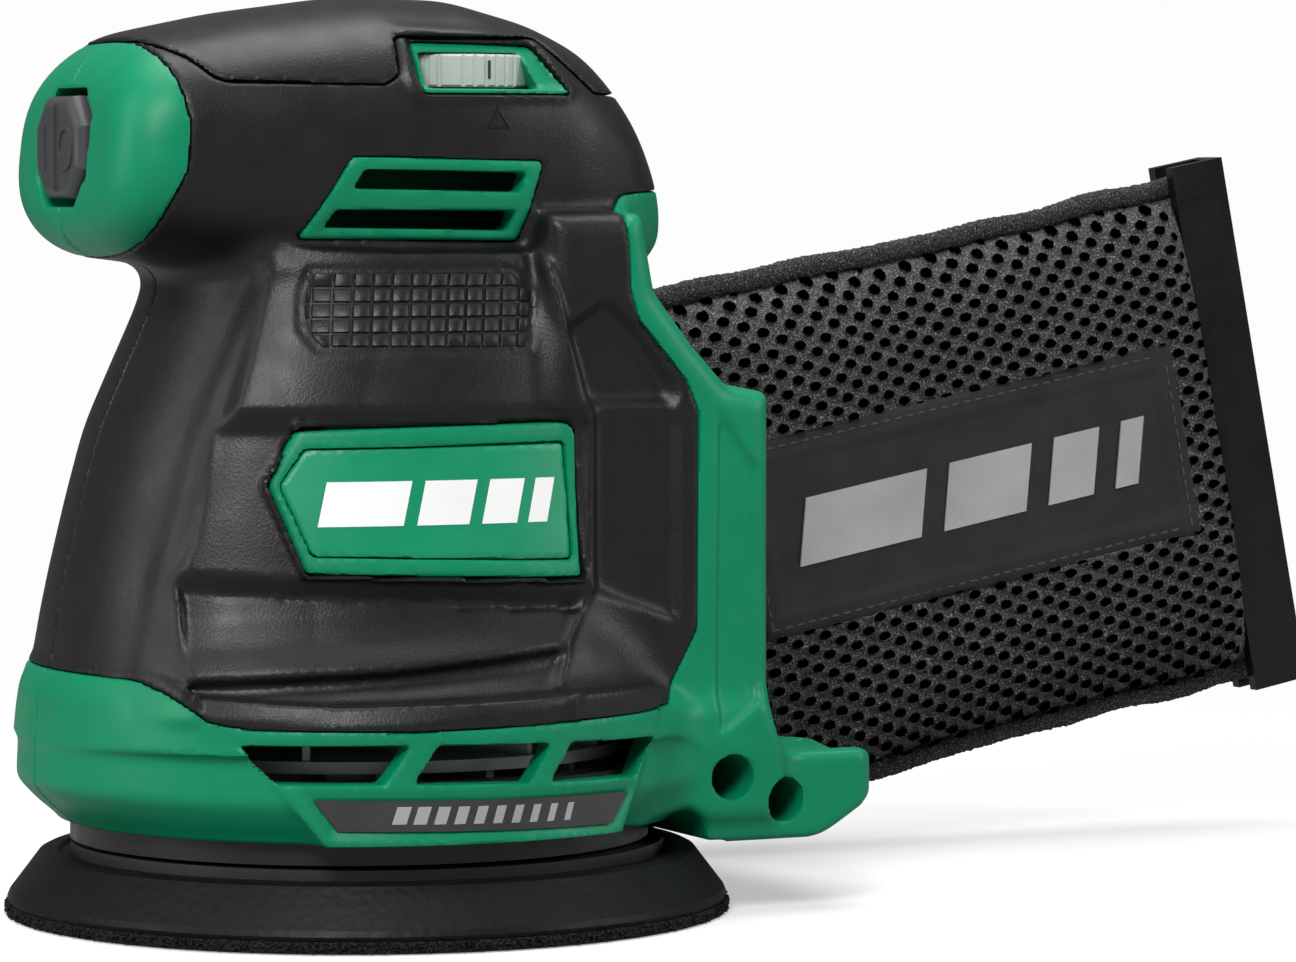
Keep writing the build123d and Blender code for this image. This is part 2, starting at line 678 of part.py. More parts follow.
# ---------------------------------------------------------------- pad
def pad_holes(radius, z0, z1):
    holes = []
    for i in range(8):
        t = math.radians(45 * i + 22.5)
        x, y = ORBIT + HOLE_CIRCLE_R * math.cos(t), HOLE_CIRCLE_R * math.sin(t)
        holes.append(disc(radius, z0, z1, x, y))
    return holes


def pad_screw_places():
    for i in range(4):
        t = math.radians(90 * i + 45)
        r = PAD_SCREW_CIRCLE_R
        yield ORBIT + r * math.cos(t), r * math.sin(t)


def foam_disc():
    """Half profile turned about the pad's axis: rounded rim, cone and a moulded step on top."""
    step_r, lip = PLATE_R + 1.6, 0.6
    half = [
        (0, HOOK_T),
        (PAD_R - 0.3, HOOK_T),
        (PAD_R, HOOK_T + 0.8),
        (PAD_R - 0.4, HOOK_T + 1.8),
        (FOAM_TOP_R + 0.5, FOAM_TOP - 0.5),
        (FOAM_TOP_R - 0.5, FOAM_TOP),
        (step_r + lip, FOAM_TOP),
        (step_r, FOAM_TOP - lip),
        (0, FOAM_TOP - lip),
    ]
    face = make_face(Polyline(*[(r, 0, z) for r, z in half], close=True))
    return Pos(ORBIT, 0, 0) * revolve(face, Axis.Z)


def pad_parts():
    access = [disc(4.2, -1, 20, x, y) for x, y in pad_screw_places()]
    hook = disc(PAD_R, 0, HOOK_T, ORBIT) - group(pad_holes(DUST_HOLE_R, -1, 20)) - group(access)
    save("hook_sheet", hook)
    foam = foam_disc() - disc(PLATE_R, PLATE_Z, 20, ORBIT) - group(pad_holes(DUST_HOLE_R, -1, 20))
    save("pad_foam", foam - group(access))
    plate = disc(PLATE_R, PLATE_Z, PLATE_TOP, ORBIT)
    plate = plate + ring(PLATE_R, 45.0, PLATE_TOP, BRAKE_TRACK_TOP, ORBIT)
    plate = plate + disc(16.0, PLATE_TOP, HUB_TOP, ORBIT)
    for i in range(8):
        web = Pos(ORBIT, 0, 0) * Rot(0, 0, 45 * i) * block(14, 46, -1.0, 1.0, PLATE_TOP, HUB_TOP - 2.7)
        plate = plate + web
    plate = plate - group(pad_holes(DUST_HOLE_R, -1, 20))
    shank_holes = [disc(2.2, 0, 20, x, y) for x, y in pad_screw_places()]
    sinks = [disc(4.2, 0, 10.5, x, y) for x, y in pad_screw_places()]
    save("backing_plate", plate - group(shank_holes) - group(sinks))
    flange = disc(14.0, HUB_TOP, 18.0, ORBIT) + disc(6.6, 18.0, 20.9, ORBIT)
    spindle = flange + disc(SPINDLE_R, 20.9, 32.2, ORBIT)
    holes = [disc(2.0, 10, 18.5, x, y) for x, y in pad_screw_places()]
    spindle = spindle - group(holes) - disc(1.7, 24, 40, ORBIT)
    save("pad_spindle", spindle)
    screws = [disc(1.9, 8.5, 17.6, x, y) + disc(3.6, 7.7, 10.5, x, y) for x, y in pad_screw_places()]
    sockets = [disc(1.6, 7.0, 9.2, x, y) for x, y in pad_screw_places()]
    save("pad_screws", group((fused([s]) - k) for s, k in zip(screws, sockets)))


def guard_parts():
    skirt = ring(BORE_R - 0.1, 47.8, 13.2, 21.0) + ring(BORE_R - 0.1, 45.0, 13.2, 14.2)
    save("pad_brake_ring", skirt)
    shroud = ring(53.4, FAN_R + 1.6, 25.4, 27.0) + ring(FAN_R + 3.2, FAN_R + 1.6, 21.2, 25.4)
    bosses = [along_y(BOSS_R + GAP, x, z, -45, 45) for x, z, _ in SCREWS if z < BUMPER_TOP]
    outlet = bag_tube(OUTLET_R + GAP, -OUTLET_BACK - GAP, OUTLET_LEN)
    save("fan_shroud", shroud.cut(outlet, *bosses))


# ---------------------------------------------------------------- dust outlet and bag
def outlet_parts():
    tube = bag_tube(OUTLET_R, -OUTLET_BACK, OUTLET_LEN)
    bore = bag_tube(OUTLET_BORE_R, -OUTLET_BACK + 2, OUTLET_LEN + 1)
    sweep_room = disc(FAN_R + 3.6, 10, 40)
    shell = tube.cut(bore, sweep_room, disc(BORE_R + GAP, 10, 22))
    groove = bag_tube(OUTLET_R + 1, 41.0, 43.4) - bag_tube(OUTLET_R - 0.9, 40, 44)
    save("dust_outlet", group([max((shell - groove).solids(), key=lambda s: s.volume)]))
    seal = bag_tube(OUTLET_R, 41.1, 43.3) - bag_tube(OUTLET_R - 0.9, 40, 44)
    save("outlet_seal", seal)


def bag_parts():
    collar = bag_tube(14.5, 32.0, BAG_FROM + 4) - bag_tube(OUTLET_R + 0.05, 30, OUTLET_LEN + 1)
    collar = collar - bag_tube(OUTLET_BORE_R + 0.5, 30, BAG_FROM + 6)
    grip_ring = bag_tube(15.4, 34, 36) + bag_tube(15.4, 38, 40)
    collar = collar + (grip_ring - bag_tube(14.0, 30, 50)) + (bag_tube(13.9, 50, 51))
    collar = collar - bag_tube(OUTLET_BORE_R + 0.5, 30, BAG_FROM + 6)
    save("bag_collar", collar)
    save("collar_band", bag_tube(16.4, 46.6, 51.4) - bag_tube(14.5, 46, 52))
    v0, v1 = BAG_RISE - BAG_H / 2, BAG_RISE + BAG_H / 2
    u0, u1, h = BAG_FROM, BAG_FROM + BAG_L, BAG_T / 2
    tail = TAIL_T / 2
    profile = [
        (u0, -h + 4), (u0 + 4, -h), (u1 - BAG_TAPER, -h), (u1 - 3, -tail - 1.4), (u1 - 0.6, -tail)
    ]
    profile += [(u1 + TAIL_L, -tail), (u1 + TAIL_L, tail)]
    profile += [(u, -y) for u, y in reversed(profile[:5])]
    points = [along_bag(u, v0, OUTLET_START[1] + y) for u, y in profile]
    face = make_face(Polyline(*points, close=True))
    tilt = math.radians(BAG_TILT)
    bag = extrude(face, v1 - v0, dir=(-math.sin(tilt), 0, math.cos(tilt)))
    save("dust_bag", bag - bag_tube(14.5, 50, BAG_FROM + 4))
    low, high = PATCH_RISE - PATCH_H / 2, PATCH_RISE + PATCH_H / 2
    patch = bag_block(u0 + 8, u1 - BAG_TAPER - 1, -h - 0.7, -h, low, high)
    save("bag_patch", patch)
    clip_low = v0 - 1.8
    clip = bag_block(u1, u1 + CLIP_W, -CLIP_T / 2, CLIP_T / 2, clip_low, clip_low + CLIP_L)
    slot = bag_block(u1 - 1, u1 + TAIL_L + 1, -tail - GAP, tail + GAP, v0 - 30, v1 + 30)
    save("bag_clip", clip - slot)


def screw_parts():
    made = []
    for x, z, side in SCREWS:
        head_at = side * SCREW_HEAD_Y
        ends = sorted((head_at, head_at - side * 24))
        heads = sorted((head_at, head_at + side * 2.4))
        screw = along_y(PILOT_R - 0.1, x, z, *ends) + along_y(3.4, x, z, *heads)
        tip = sorted((head_at + side * 1.2, head_at + side * 3))
        made.append(screw - along_y(1.4, x, z, *tip))
    save("housing_screws", group(made))


def main():
    os.makedirs("parts", exist_ok=True)
    housing_parts()
    trim_parts()
    switch_parts()
    dial_parts()
    drive_parts()
    motor_parts()
    electronic_parts()
    pad_parts()
    guard_parts()
    outlet_parts()
    bag_parts()
    screw_parts()


main()
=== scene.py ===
import json
import math
from functools import reduce

import bpy
import numpy as np
from mathutils import Matrix, Vector


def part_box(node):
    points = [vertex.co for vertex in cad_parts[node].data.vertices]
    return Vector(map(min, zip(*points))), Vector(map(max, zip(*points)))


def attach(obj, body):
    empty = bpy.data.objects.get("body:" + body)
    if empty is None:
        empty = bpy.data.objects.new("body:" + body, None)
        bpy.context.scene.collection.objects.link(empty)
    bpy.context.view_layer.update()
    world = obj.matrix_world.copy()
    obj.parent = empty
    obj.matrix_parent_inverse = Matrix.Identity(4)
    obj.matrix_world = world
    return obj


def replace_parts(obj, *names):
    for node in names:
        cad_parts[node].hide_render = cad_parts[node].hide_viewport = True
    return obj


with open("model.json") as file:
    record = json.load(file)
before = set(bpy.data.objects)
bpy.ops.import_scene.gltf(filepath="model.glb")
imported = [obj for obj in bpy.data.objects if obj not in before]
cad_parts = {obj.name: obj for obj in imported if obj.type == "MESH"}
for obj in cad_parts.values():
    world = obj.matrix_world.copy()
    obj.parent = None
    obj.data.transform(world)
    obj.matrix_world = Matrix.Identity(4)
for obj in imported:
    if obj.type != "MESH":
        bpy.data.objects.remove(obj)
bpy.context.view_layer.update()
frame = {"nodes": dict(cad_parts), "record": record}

MM = 0.001


# ======== materials
def put(tree, node, name, value):
    """Sets a node's input, or wires it when the value is another node's output."""
    socket = node.inputs[name]
    if isinstance(value, bpy.types.NodeSocket):
        tree.links.new(value, socket)
    else:
        socket.default_value = (*value, 1) if socket.type == "RGBA" else value


def add(tree, kind, inputs=(), **settings):
    """A new shader node with its settings and its (input, value) pairs."""
    node = tree.nodes.new("ShaderNode" + kind)
    for name, value in settings.items():
        setattr(node, name, value)
    for name, value in inputs:
        put(tree, node, name, value)
    return node


def material(name, color, rough, metal=0, sheen=0, coat=0, shine=0.5):
    """A material with its shader and output; detail is added by the helpers below."""
    mat = bpy.data.materials.new(name)
    mat.use_nodes = True
    tree = mat.node_tree
    tree.nodes.clear()
    shader = add(tree, "BsdfPrincipled", (
        ("Base Color", color), ("Roughness", rough), ("Metallic", metal),
        ("Sheen Weight", sheen), ("Coat Weight", coat), ("Specular IOR Level", shine)))
    add(tree, "OutputMaterial", ((0, shader.outputs[0]),))
    return mat, tree, shader


def coords(tree, stretch=(1, 1, 1)):
    """Object coordinates in millimetres, stretched per axis."""
    place = add(tree, "TexCoord").outputs["Object"]
    return add(tree, "Mapping", (("Vector", place), ("Scale", [s / MM for s in stretch]))).outputs["Vector"]


def noise(tree, vector, size_mm, detail=3, rough=0.55):
    inputs = (("Vector", vector), ("Scale", 1 / size_mm), ("Detail", detail), ("Roughness", rough))
    return add(tree, "TexNoise", inputs).outputs["Fac"]


def cells(tree, vector, size_mm, feature="F1"):
    inputs = (("Vector", vector), ("Scale", 1 / size_mm))
    return add(tree, "TexVoronoi", inputs, feature=feature).outputs["Distance"]


def ranged(tree, value, low, high, ends="From"):
    """Maps a value from low..high to 0..1, or from 0..1 to low..high when ends is To."""
    inputs = (("Value", value), (ends + " Min", low), (ends + " Max", high))
    return add(tree, "MapRange", inputs).outputs["Result"]


def ramp(tree, fac, *stops):
    """Maps a value through (position, value) stops to a grey or a colour."""
    node = add(tree, "ValToRGB", (("Fac", fac),))
    elements = node.color_ramp.elements
    while len(elements) < len(stops):
        elements.new(0.5)
    for element, (place, value) in zip(elements, stops):
        element.position = place
        element.color = (*value, 1) if isinstance(value, tuple) else (value, value, value, 1)
    return node.outputs["Color"]


def mixed(tree, fac, a, b, mode="MIX"):
    return add(tree, "Mix", ((0, fac), (6, a), (7, b)), data_type="RGBA", blend_type=mode).outputs[2]


def tinted(tree, shader, fac, color, vary):
    """The base colour, darker and lighter by vary; also returned for further mixing."""
    low, high = (tuple(min(1, c * k) for c in color) for k in (1 - vary, 1 + vary))
    tone = ramp(tree, fac, (0.3, low), (0.7, high))
    put(tree, shader, "Base Color", tone)
    return tone


def glossed(tree, shader, fac, low, high, start=0.3):
    """Uneven roughness between low and high."""
    put(tree, shader, "Roughness", ramp(tree, fac, (start, low), (1 - start, high)))


def bump(tree, shader, height, distance_mm, strength=1, under=None):
    """Relief for the shader, on top of an earlier bump's normal."""
    node = add(tree, "Bump", (("Height", height), ("Distance", distance_mm * MM), ("Strength", strength)))
    if under is not None:
        put(tree, node, "Normal", under)
    put(tree, shader, "Normal", node.outputs["Normal"])
    return node.outputs["Normal"]


MOTTLE_MM, GLOSS_MM = 14.0, 5.0                # sizes of the colour and gloss patches on mouldings
SKIN_MOTTLE_MM, SKIN_GLOSS_MM = 18.0, 6.0      # and on the overmould
STREAK_MM, METAL_RELIEF_MM = 0.6, 0.01
YARN_MM, THREAD_RELIEF_MM = 0.34, 0.03


def moulded(name, color, rough, grain_mm=0.5, relief_mm=0.02, vary=0.12, shine=0.4, coat=0, cell=False):
    """Moulded plastic or rubber: a fine texture, slow mottling and uneven gloss."""
    mat, tree, shader = material(name, color, rough, coat=coat, shine=shine)
    place = coords(tree)
    tinted(tree, shader, noise(tree, place, MOTTLE_MM), color, vary)
    glossed(tree, shader, noise(tree, place, GLOSS_MM), rough - 0.05, rough + 0.06)
    under = bump(tree, shader, noise(tree, place, grain_mm, 4), relief_mm)
    if cell:
        bump(tree, shader, cells(tree, place, grain_mm * 1.6), relief_mm * 1.5, 1, under)
    return mat


def metal(name, color, rough, brushed=(1, 1, 1)):
    """Metal with streaks across the axes that brushed stretches."""
    mat, tree, shader = material(name, color, rough, metal=1)
    streak = noise(tree, coords(tree, brushed), STREAK_MM, 4)
    tone = ramp(tree, streak, (0.25, tuple(c * 0.8 for c in color)), (0.75, color))
    put(tree, shader, "Base Color", tone)
    glossed(tree, shader, streak, rough - 0.06, rough + 0.1, 0.2)
    bump(tree, shader, streak, METAL_RELIEF_MM)
    return mat


def soft_skin(name, color, rough, grain_mm, relief_mm):
    """The overmould: a leather-like grain of rounded cells, with painted shade darkening the creases
    between them.
    """
    mat, tree, shader = material(name, color, rough, shine=0.36)
    place = coords(tree)
    warp = noise(tree, place, grain_mm * 2.2, 2)
    inputs = ((0, warp), (1, (grain_mm,) * 3), (2, place))
    warped = add(tree, "VectorMath", inputs, operation="MULTIPLY_ADD").outputs[0]
    cell = cells(tree, warped, grain_mm, "SMOOTH_F1")
    tone = tinted(tree, shader, noise(tree, place, SKIN_MOTTLE_MM), color, 0.15)
    # painted shade: the base colour darkens where the grain's bump sinks into its creases
    crease = ramp(tree, cell, (0.25, 1), (0.8, 0.72))
    put(tree, shader, "Base Color", mixed(tree, 1, tone, crease, "MULTIPLY"))
    glossed(tree, shader, noise(tree, place, SKIN_GLOSS_MM), rough - 0.05, rough + 0.05)
    under = bump(tree, shader, noise(tree, place, grain_mm * 0.5, 3), relief_mm * 0.4)
    bump(tree, shader, ramp(tree, cell, (0, 1), (0.8, 0)), relief_mm, 0.9, under)
    return mat


def mesh_cloth(name):
    """Knitted spacer mesh: dark yarn with pale specks, and painted shade that turns its shallow holes black
    and takes their reflections away.
    """
    mat, tree, shader = material(name, (0.014, 0.014, 0.014), 0.8, sheen=0.04, shine=0.2)
    place = coords(tree)
    yarn = noise(tree, place, YARN_MM, 5, 0.7)
    dark, mid, pale = (0.008, 0.008, 0.009), (0.045, 0.045, 0.048), (0.4, 0.4, 0.41)
    specks = ramp(tree, yarn, (0.4, dark), (0.54, mid), (0.68, pale))
    # painted shade: the hole attribute marks the holes and seams, and there the base colour is painted near
    # black
    hole = add(tree, "Attribute", attribute_name="hole").outputs["Fac"]
    inside = ranged(tree, hole, 0.12, 0.6)
    put(tree, shader, "Base Color", mixed(tree, inside, specks, (0.0002, 0.0002, 0.0002)))
    # painted shade also takes the specular and sheen out of the holes
    for socket, outside in (("Specular IOR Level", 0.3), ("Sheen Weight", 0.06)):
        put(tree, shader, socket, ranged(tree, inside, outside, 0, "To"))
    under = bump(tree, shader, yarn, 0.25)
    bump(tree, shader, noise(tree, place, 0.9, 3), 0.3, 0.7, under)
    return mat


def satin(name, color):
    """Woven satin: crossed fine threads."""
    mat, tree, shader = material(name, color, 0.6, sheen=0.04, shine=0.3)
    place = coords(tree)
    tinted(tree, shader, noise(tree, place, 9), color, 0.3)
    under = None
    for direction, scale in (("X", 0.9), ("Z", 1.2)):
        inputs = (("Vector", place), ("Scale", scale), ("Distortion", 0.6))
        threads = add(tree, "TexWave", inputs, bands_direction=direction).outputs["Fac"]
        under = bump(tree, shader, threads, THREAD_RELIEF_MM, 1, under)
    return mat


FINISHES = {
    # colour, roughness, grain and relief in mm, colour variation, shine, coat, cells
    moulded: {
        "green_shell": ((0.0003, 0.212, 0.096), 0.43, 0.3, 0.012, 0.05, 0.25),
        "label_strip": ((0.035, 0.035, 0.037), 0.42, 0.45, 0.02, 0.2),
        "nameplate_green": ((0.002, 0.25, 0.115), 0.38, 0.4, 0.006, 0.06),
        "switch_rubber": ((0.042, 0.043, 0.046), 0.4, 0.25, 0.012, 0.1),
        "black_plastic": ((0.006, 0.0059, 0.0061), 0.45, 0.35, 0.012),
        "gloss_black": ((0.005, 0.005, 0.0055), 0.3, 0.8, 0.012, 0.1, 0.25, 0.12),
        "dial_plastic": ((0.42, 0.47, 0.42), 0.42, 0.4, 0.012, 0.06),
        "board_green": ((0.01, 0.1, 0.045), 0.35, 0.7, 0.02, 0.3),
        "pad_rubber": ((0.0035, 0.0034, 0.0033), 0.5, 1.1, 0.05, 0.22, 0.2, 0, True),
        "hook_nylon": ((0.006, 0.006, 0.006), 0.6, 0.35, 0.3, 0.4, 0.25, 0, True),
        "glass_nylon": ((0.02, 0.02, 0.02), 0.5, 0.6, 0.02),
        "fan_nylon": ((0.42, 0.42, 0.43), 0.34, 0.6, 0.02),
        "skirt_rubber": ((0.011, 0.011, 0.011), 0.4, 0.5, 0.01),
        "thread": ((0.055, 0.055, 0.056), 0.7, 0.2, 0.05),
        "grey_print": ((0.33, 0.33, 0.34), 0.5, 0.5, 0.03, 0.1),
        "white_print": ((0.86, 0.87, 0.86), 0.4, 0.6, 0.004, 0.03),
        "dark_print": ((0.02, 0.02, 0.02), 0.5, 0.5, 0.01, 0.1),
    },
    # colour, roughness, grain and relief in mm
    soft_skin: {
        "soft_grip": ((0.006, 0.006, 0.006), 0.44, 0.42, 0.034),
        "palm_skin": ((0.0072, 0.0073, 0.0074), 0.4, 0.42, 0.03),
    },
    # colour, roughness, stretch of the streaks
    metal: {
        "steel": ((0.56, 0.56, 0.58), 0.3, (1, 1, 5)),
        "laminated_steel": ((0.25, 0.25, 0.27), 0.45, (0.4, 0.4, 6)),
        "copper": ((0.75, 0.33, 0.17), 0.34, (1, 1, 4)),
        "magnet": ((0.2, 0.2, 0.22), 0.4),
        "aluminium": ((0.68, 0.69, 0.7), 0.42),
        "terminal_brass": ((0.78, 0.6, 0.28), 0.3, (1, 1, 4)),
    },
    mesh_cloth: {"bag_mesh": ()},
    satin: {"patch_satin": ((0.012, 0.012, 0.0125),)},
}
M = {name: make(name, *values) for make, rows in FINISHES.items() for name, values in rows.items()}

NODE_SLOT = {part["node"]: part["material_slot"] for part in frame["record"]["subparts"]}
for node_name, node_object in frame["nodes"].items():
    node_object.data.materials.clear()
    node_object.data.materials.append(M["fan_nylon" if node_name == "fan" else NODE_SLOT[node_name]])


# ======== mesh helpers
def placed(name, data):
    """A new object in the scene."""
    obj = bpy.data.objects.new(name, data)
    bpy.context.scene.collection.objects.link(obj)
    return obj


def mesh_piece(name, verts, faces, mat, body, sharp_deg=38, attribute=None):
    """A new piece from vertices in millimetres and polygons, smooth with sharp creases."""
    mesh = bpy.data.meshes.new(name)
    verts = np.asarray(verts, float) * MM
    if isinstance(faces, np.ndarray):
        count, sides = faces.shape
        mesh.vertices.add(len(verts))
        mesh.vertices.foreach_set("co", verts.ravel())
        mesh.loops.add(count * sides)
        mesh.loops.foreach_set("vertex_index", faces.astype(np.int32).ravel())
        mesh.polygons.add(count)
        mesh.polygons.foreach_set("loop_start", np.arange(0, count * sides, sides, dtype=np.int32))
        mesh.update(calc_edges=True)
    else:
        mesh.from_pydata([tuple(v) for v in verts], [], faces)
    mesh.validate()
    mesh.polygons.foreach_set("use_smooth", np.ones(len(mesh.polygons), bool))
    mesh.set_sharp_from_angle(angle=math.radians(sharp_deg))
    if attribute is not None:
        layer = mesh.attributes.new(attribute[0], "FLOAT", "POINT")
        layer.data.foreach_set("value", np.asarray(attribute[1], np.float32))
    obj = placed(name, mesh)
    mesh.materials.append(M[mat])
    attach(obj, body)
    return obj


CORNERS = np.array([[i, j, k] for i in (0, 1) for j in (0, 1) for k in (0, 1)])
SETTLE_STEPS, SETTLE_SHARE, CELL_RIM = 3, 0.7, 0.02    # how a point is drawn onto the surface in its cell
EDGES = [(a, b) for a in range(8) for b in range(a + 1, 8) if abs(CORNERS[a] - CORNERS[b]).sum() == 1]


def isosurface(field, origin, step):
    """The field's zero surface as (vertices, quads): surface nets, drawn onto the true surface."""
    inside = field < 0
    sizes = [n - 1 for n in field.shape]

    def corner(array, c):
        return array[c[0]:c[0] + sizes[0], c[1]:c[1] + sizes[1], c[2]:c[2] + sizes[2]]

    count = np.zeros(sizes, np.int8)
    for c in CORNERS:
        count += corner(inside, c)
    active = (count > 0) & (count < 8)
    cell = np.argwhere(active)
    index = np.full(sizes, -1, np.int64)
    index[active] = np.arange(len(cell))
    values = np.stack([corner(field, c)[active] for c in CORNERS], 1).astype(np.float64)
    total, hits = np.zeros((len(cell), 3)), np.zeros(len(cell))
    for a, b in EDGES:
        fa, fb = values[:, a], values[:, b]
        cross = (fa < 0) != (fb < 0)
        t = np.where(cross, fa / np.where(cross, fa - fb, 1), 0)
        total += np.where(cross[:, None], CORNERS[a] + t[:, None] * (CORNERS[b] - CORNERS[a]), 0)
        hits += cross
    local = total / hits[:, None]
    for _ in range(SETTLE_STEPS):
        w = [1 - local, local]
        value, slope = np.zeros(len(cell)), np.zeros((len(cell), 3))
        for n, c in enumerate(CORNERS):
            wx, wy, wz = (w[c[d]][:, d] for d in range(3))
            sx, sy, sz = (2 * c[d] - 1 for d in range(3))
            value += values[:, n] * wx * wy * wz
            slope += values[:, n, None] * np.stack([sx * wy * wz, sy * wx * wz, sz * wx * wy], 1)
        size = (slope ** 2).sum(1) + 1e-9
        local = np.clip(local - SETTLE_SHARE * slope * (value / size)[:, None], CELL_RIM, 1 - CELL_RIM)
    verts = origin + (cell + local) * step
    quads = []
    for axis in range(3):
        b, c = (axis + 1) % 3, (axis + 2) % 3
        low, high = [slice(1, -1)] * 3, [slice(1, -1)] * 3
        low[axis], high[axis] = slice(0, -1), slice(1, None)
        first, second = inside[tuple(low)], inside[tuple(high)]
        edge = np.argwhere(first != second)
        flip = first[first != second]
        around = []
        for db, dc in ((0, 0), (1, 0), (1, 1), (0, 1)):
            at = edge.copy()
            at[:, b] += db
            at[:, c] += dc
            around.append(index[tuple(at.T)])
        quad = np.stack(around, 1)
        quad[~flip] = quad[~flip][:, ::-1]
        quads.append(quad)
    return verts, np.concatenate(quads)


def big_islands(verts, quads, least=400):
    """Drops crumbs: connected groups of fewer than least vertices."""
    label = np.arange(len(verts))
    while True:
        low = label[quads].min(1)
        new = label.copy()
        for side in range(4):
            np.minimum.at(new, quads[:, side], low)
        new = new[new]
        if (new == label).all():
            break
        label = new
    sizes = np.bincount(label, minlength=len(verts))
    keep = sizes[label] >= least
    remap = np.cumsum(keep) - 1
    return verts[keep], remap[quads[keep[quads[:, 0]]]]


# ======== outline distances
def outline(points, xs, zs, soften=0):
    """Signed distance to a polygon, negative inside, on the xs by zs grid."""
    px, pz = np.meshgrid(xs, zs, indexing="ij")
    best = np.full(px.shape, 1e9)
    inside = np.zeros(px.shape, bool)
    for (x0, z0), (x1, z1) in zip(points, points[1:] + points[:1]):
        ex, ez = x1 - x0, z1 - z0
        t = np.clip(((px - x0) * ex + (pz - z0) * ez) / (ex * ex + ez * ez + 1e-12), 0, 1)
        best = np.minimum(best, (px - x0 - t * ex) ** 2 + (pz - z0 - t * ez) ** 2)
        straddle = (z0 > pz) != (z1 > pz)
        inside ^= straddle & (px < x0 + ex * (pz - z0) / (ez if ez else 1e-12))
    distance = np.where(inside, -1, 1) * np.sqrt(best)
    return blur(distance, soften / (xs[1] - xs[0])) if soften else distance


def blur(array, sigma):
    """Gaussian smoothing along every axis, with the edge values held."""
    reach = int(3 * sigma) + 1
    kernel = np.exp(-0.5 * (np.arange(-reach, reach + 1) / sigma) ** 2)
    kernel /= kernel.sum()
    for axis in range(array.ndim):
        pad = [(0, 0)] * array.ndim
        pad[axis] = (reach, reach)
        wide = np.pad(array, pad, mode="edge")
        array = sum(
            k * np.take(wide, range(i, i + array.shape[axis]), axis) for i, k in enumerate(kernel)
        )
    return array


def step_up(value, width):
    """0 to 1 over width, centred on zero, with soft ends."""
    t = np.clip(value / width + 0.5, 0, 1)
    return t * t * (3 - 2 * t)


def smin(a, b, k):
    h = np.clip(0.5 + 0.5 * (b - a) / k, 0, 1)
    return b + (a - b) * h - k * h * (1 - h)


def smax(a, b, k):
    return -smin(-a, -b, k)


def profile(axis, points, soften):
    """Values along an axis from (place, value) points, rounded off."""
    values = np.interp(axis, [p[0] for p in points], [p[1] for p in points])
    return blur(values, soften / (axis[1] - axis[0]))


def oval_distance(u, v, half_u, half_v, power):
    """Distance to a superellipse, exact to first order at its edge."""
    a, b = np.abs(u / half_u) + 1e-6, np.abs(v / half_v) + 1e-6
    g = (a ** power + b ** power) ** (1 / power)
    slope = np.sqrt((a ** (power - 1) / half_u) ** 2 + (b ** (power - 1) / half_v) ** 2)
    return (g - 1) / (slope * g ** (1 - power))


# ======== the tool's body
# sizes the visual body shares with the CAD solids it stands for, in millimetres
SKIN, WALL = 2.9, 4.8
BODY_BOTTOM, BUMPER_EDGE, BUMPER_TOP, BORE_R = 17.0, 24.0, 40.0, 50.3
DOCK_X, DOCK_HALF, DOCK_FLOOR_X, DOCK_STOP_Z = 62.0, 37.5, 55.0, 32.0
FAN_ROOM_R, PAD_ROOM_R = 47.5, 64.0
WAIST_LOW, WAIST_TOP, BUMPER_LIP = 32.0, 114.0, 38.2
HEAD_FACE_X, HEAD_BACK_X, FOOT_TOP, FOOT_BOTTOM = -53.9, 49.6, 27.5, 12.5
PANEL_HALF_X, PANEL_HALF_Y, PANEL_X = 59.4, 58.2, -0.4    # the bumper's raised panel and its label
WAIST_POWER, HEAD_POWER = 2.3, 2.6                       # of their superellipses
SWITCH_Z, SWITCH_W, SWITCH_H, SWITCH_GAP, SWITCH_CORNER = 132.0, 22.0, 17.4, 1.3, 5.0
BADGE_PROUD, PLATE_PROUD, PLATE_T = 1.5, 1.1, 2.2
BAG_TILT, BAG_START = math.radians(11), (36.0, 52.5, 31.0)
OUTLET_BORE_R, OUTLET_BACK = 12.3, 20.3

WAIST_FRONT = [
    (30, -58.6), (40, -57.4), (43.8, -56.4), (52, -55.4), (60.4, -53.8), (72.2, -50.9), (84.1, -47.6),
    (92.5, -43.8), (104.4, -38.3), (108, -37), (114, -36.4),
]
WAIST_REAR = [(30, 57), (40, 56), (56, 52), (86, 49), (100, 47.5), (114, 45.5)]
WAIST_HALF = [
    (30, 57), (36.2, 55.6), (38.4, 53), (41, 49.4), (43.5, 47.4), (46.5, 46.5), (50, 44.6),
    (56, 42.3), (62, 40.8), (70, 39.9), (86, 38.2), (100, 36.2), (114, 33.6),
]
HEAD_HALF = [
    (-58, 29), (-50, 30.2), (-42, 31), (-26, 32.4), (-6, 33.8), (12, 34), (30, 31.4), (42, 26.6),
    (49, 19), (52, 15),
]
HEAD_LOW = [
    (-58, 114.6), (-51, 113.6), (-42, 112.6), (-26, 109.6), (-6, 107.5), (30, 106.5), (42, 107.5),
    (49, 111), (52, 113),
]
HEAD_HIGH = [
    (-58, 148.2), (-50, 149.2), (-42, 151.6), (-26, 154.9), (-6, 157.6), (12, 157.4), (26, 153.8),
    (35, 149.6), (42, 142), (46, 135.6), (49, 128), (52, 119),
]
DOCK_OUTLINE = [
    (20, 27), (59, 27), (62, 31), (62, 90), (54, 91.5), (47.5, 98.5), (40.5, 107.5), (38, 121), (20, 121),
]
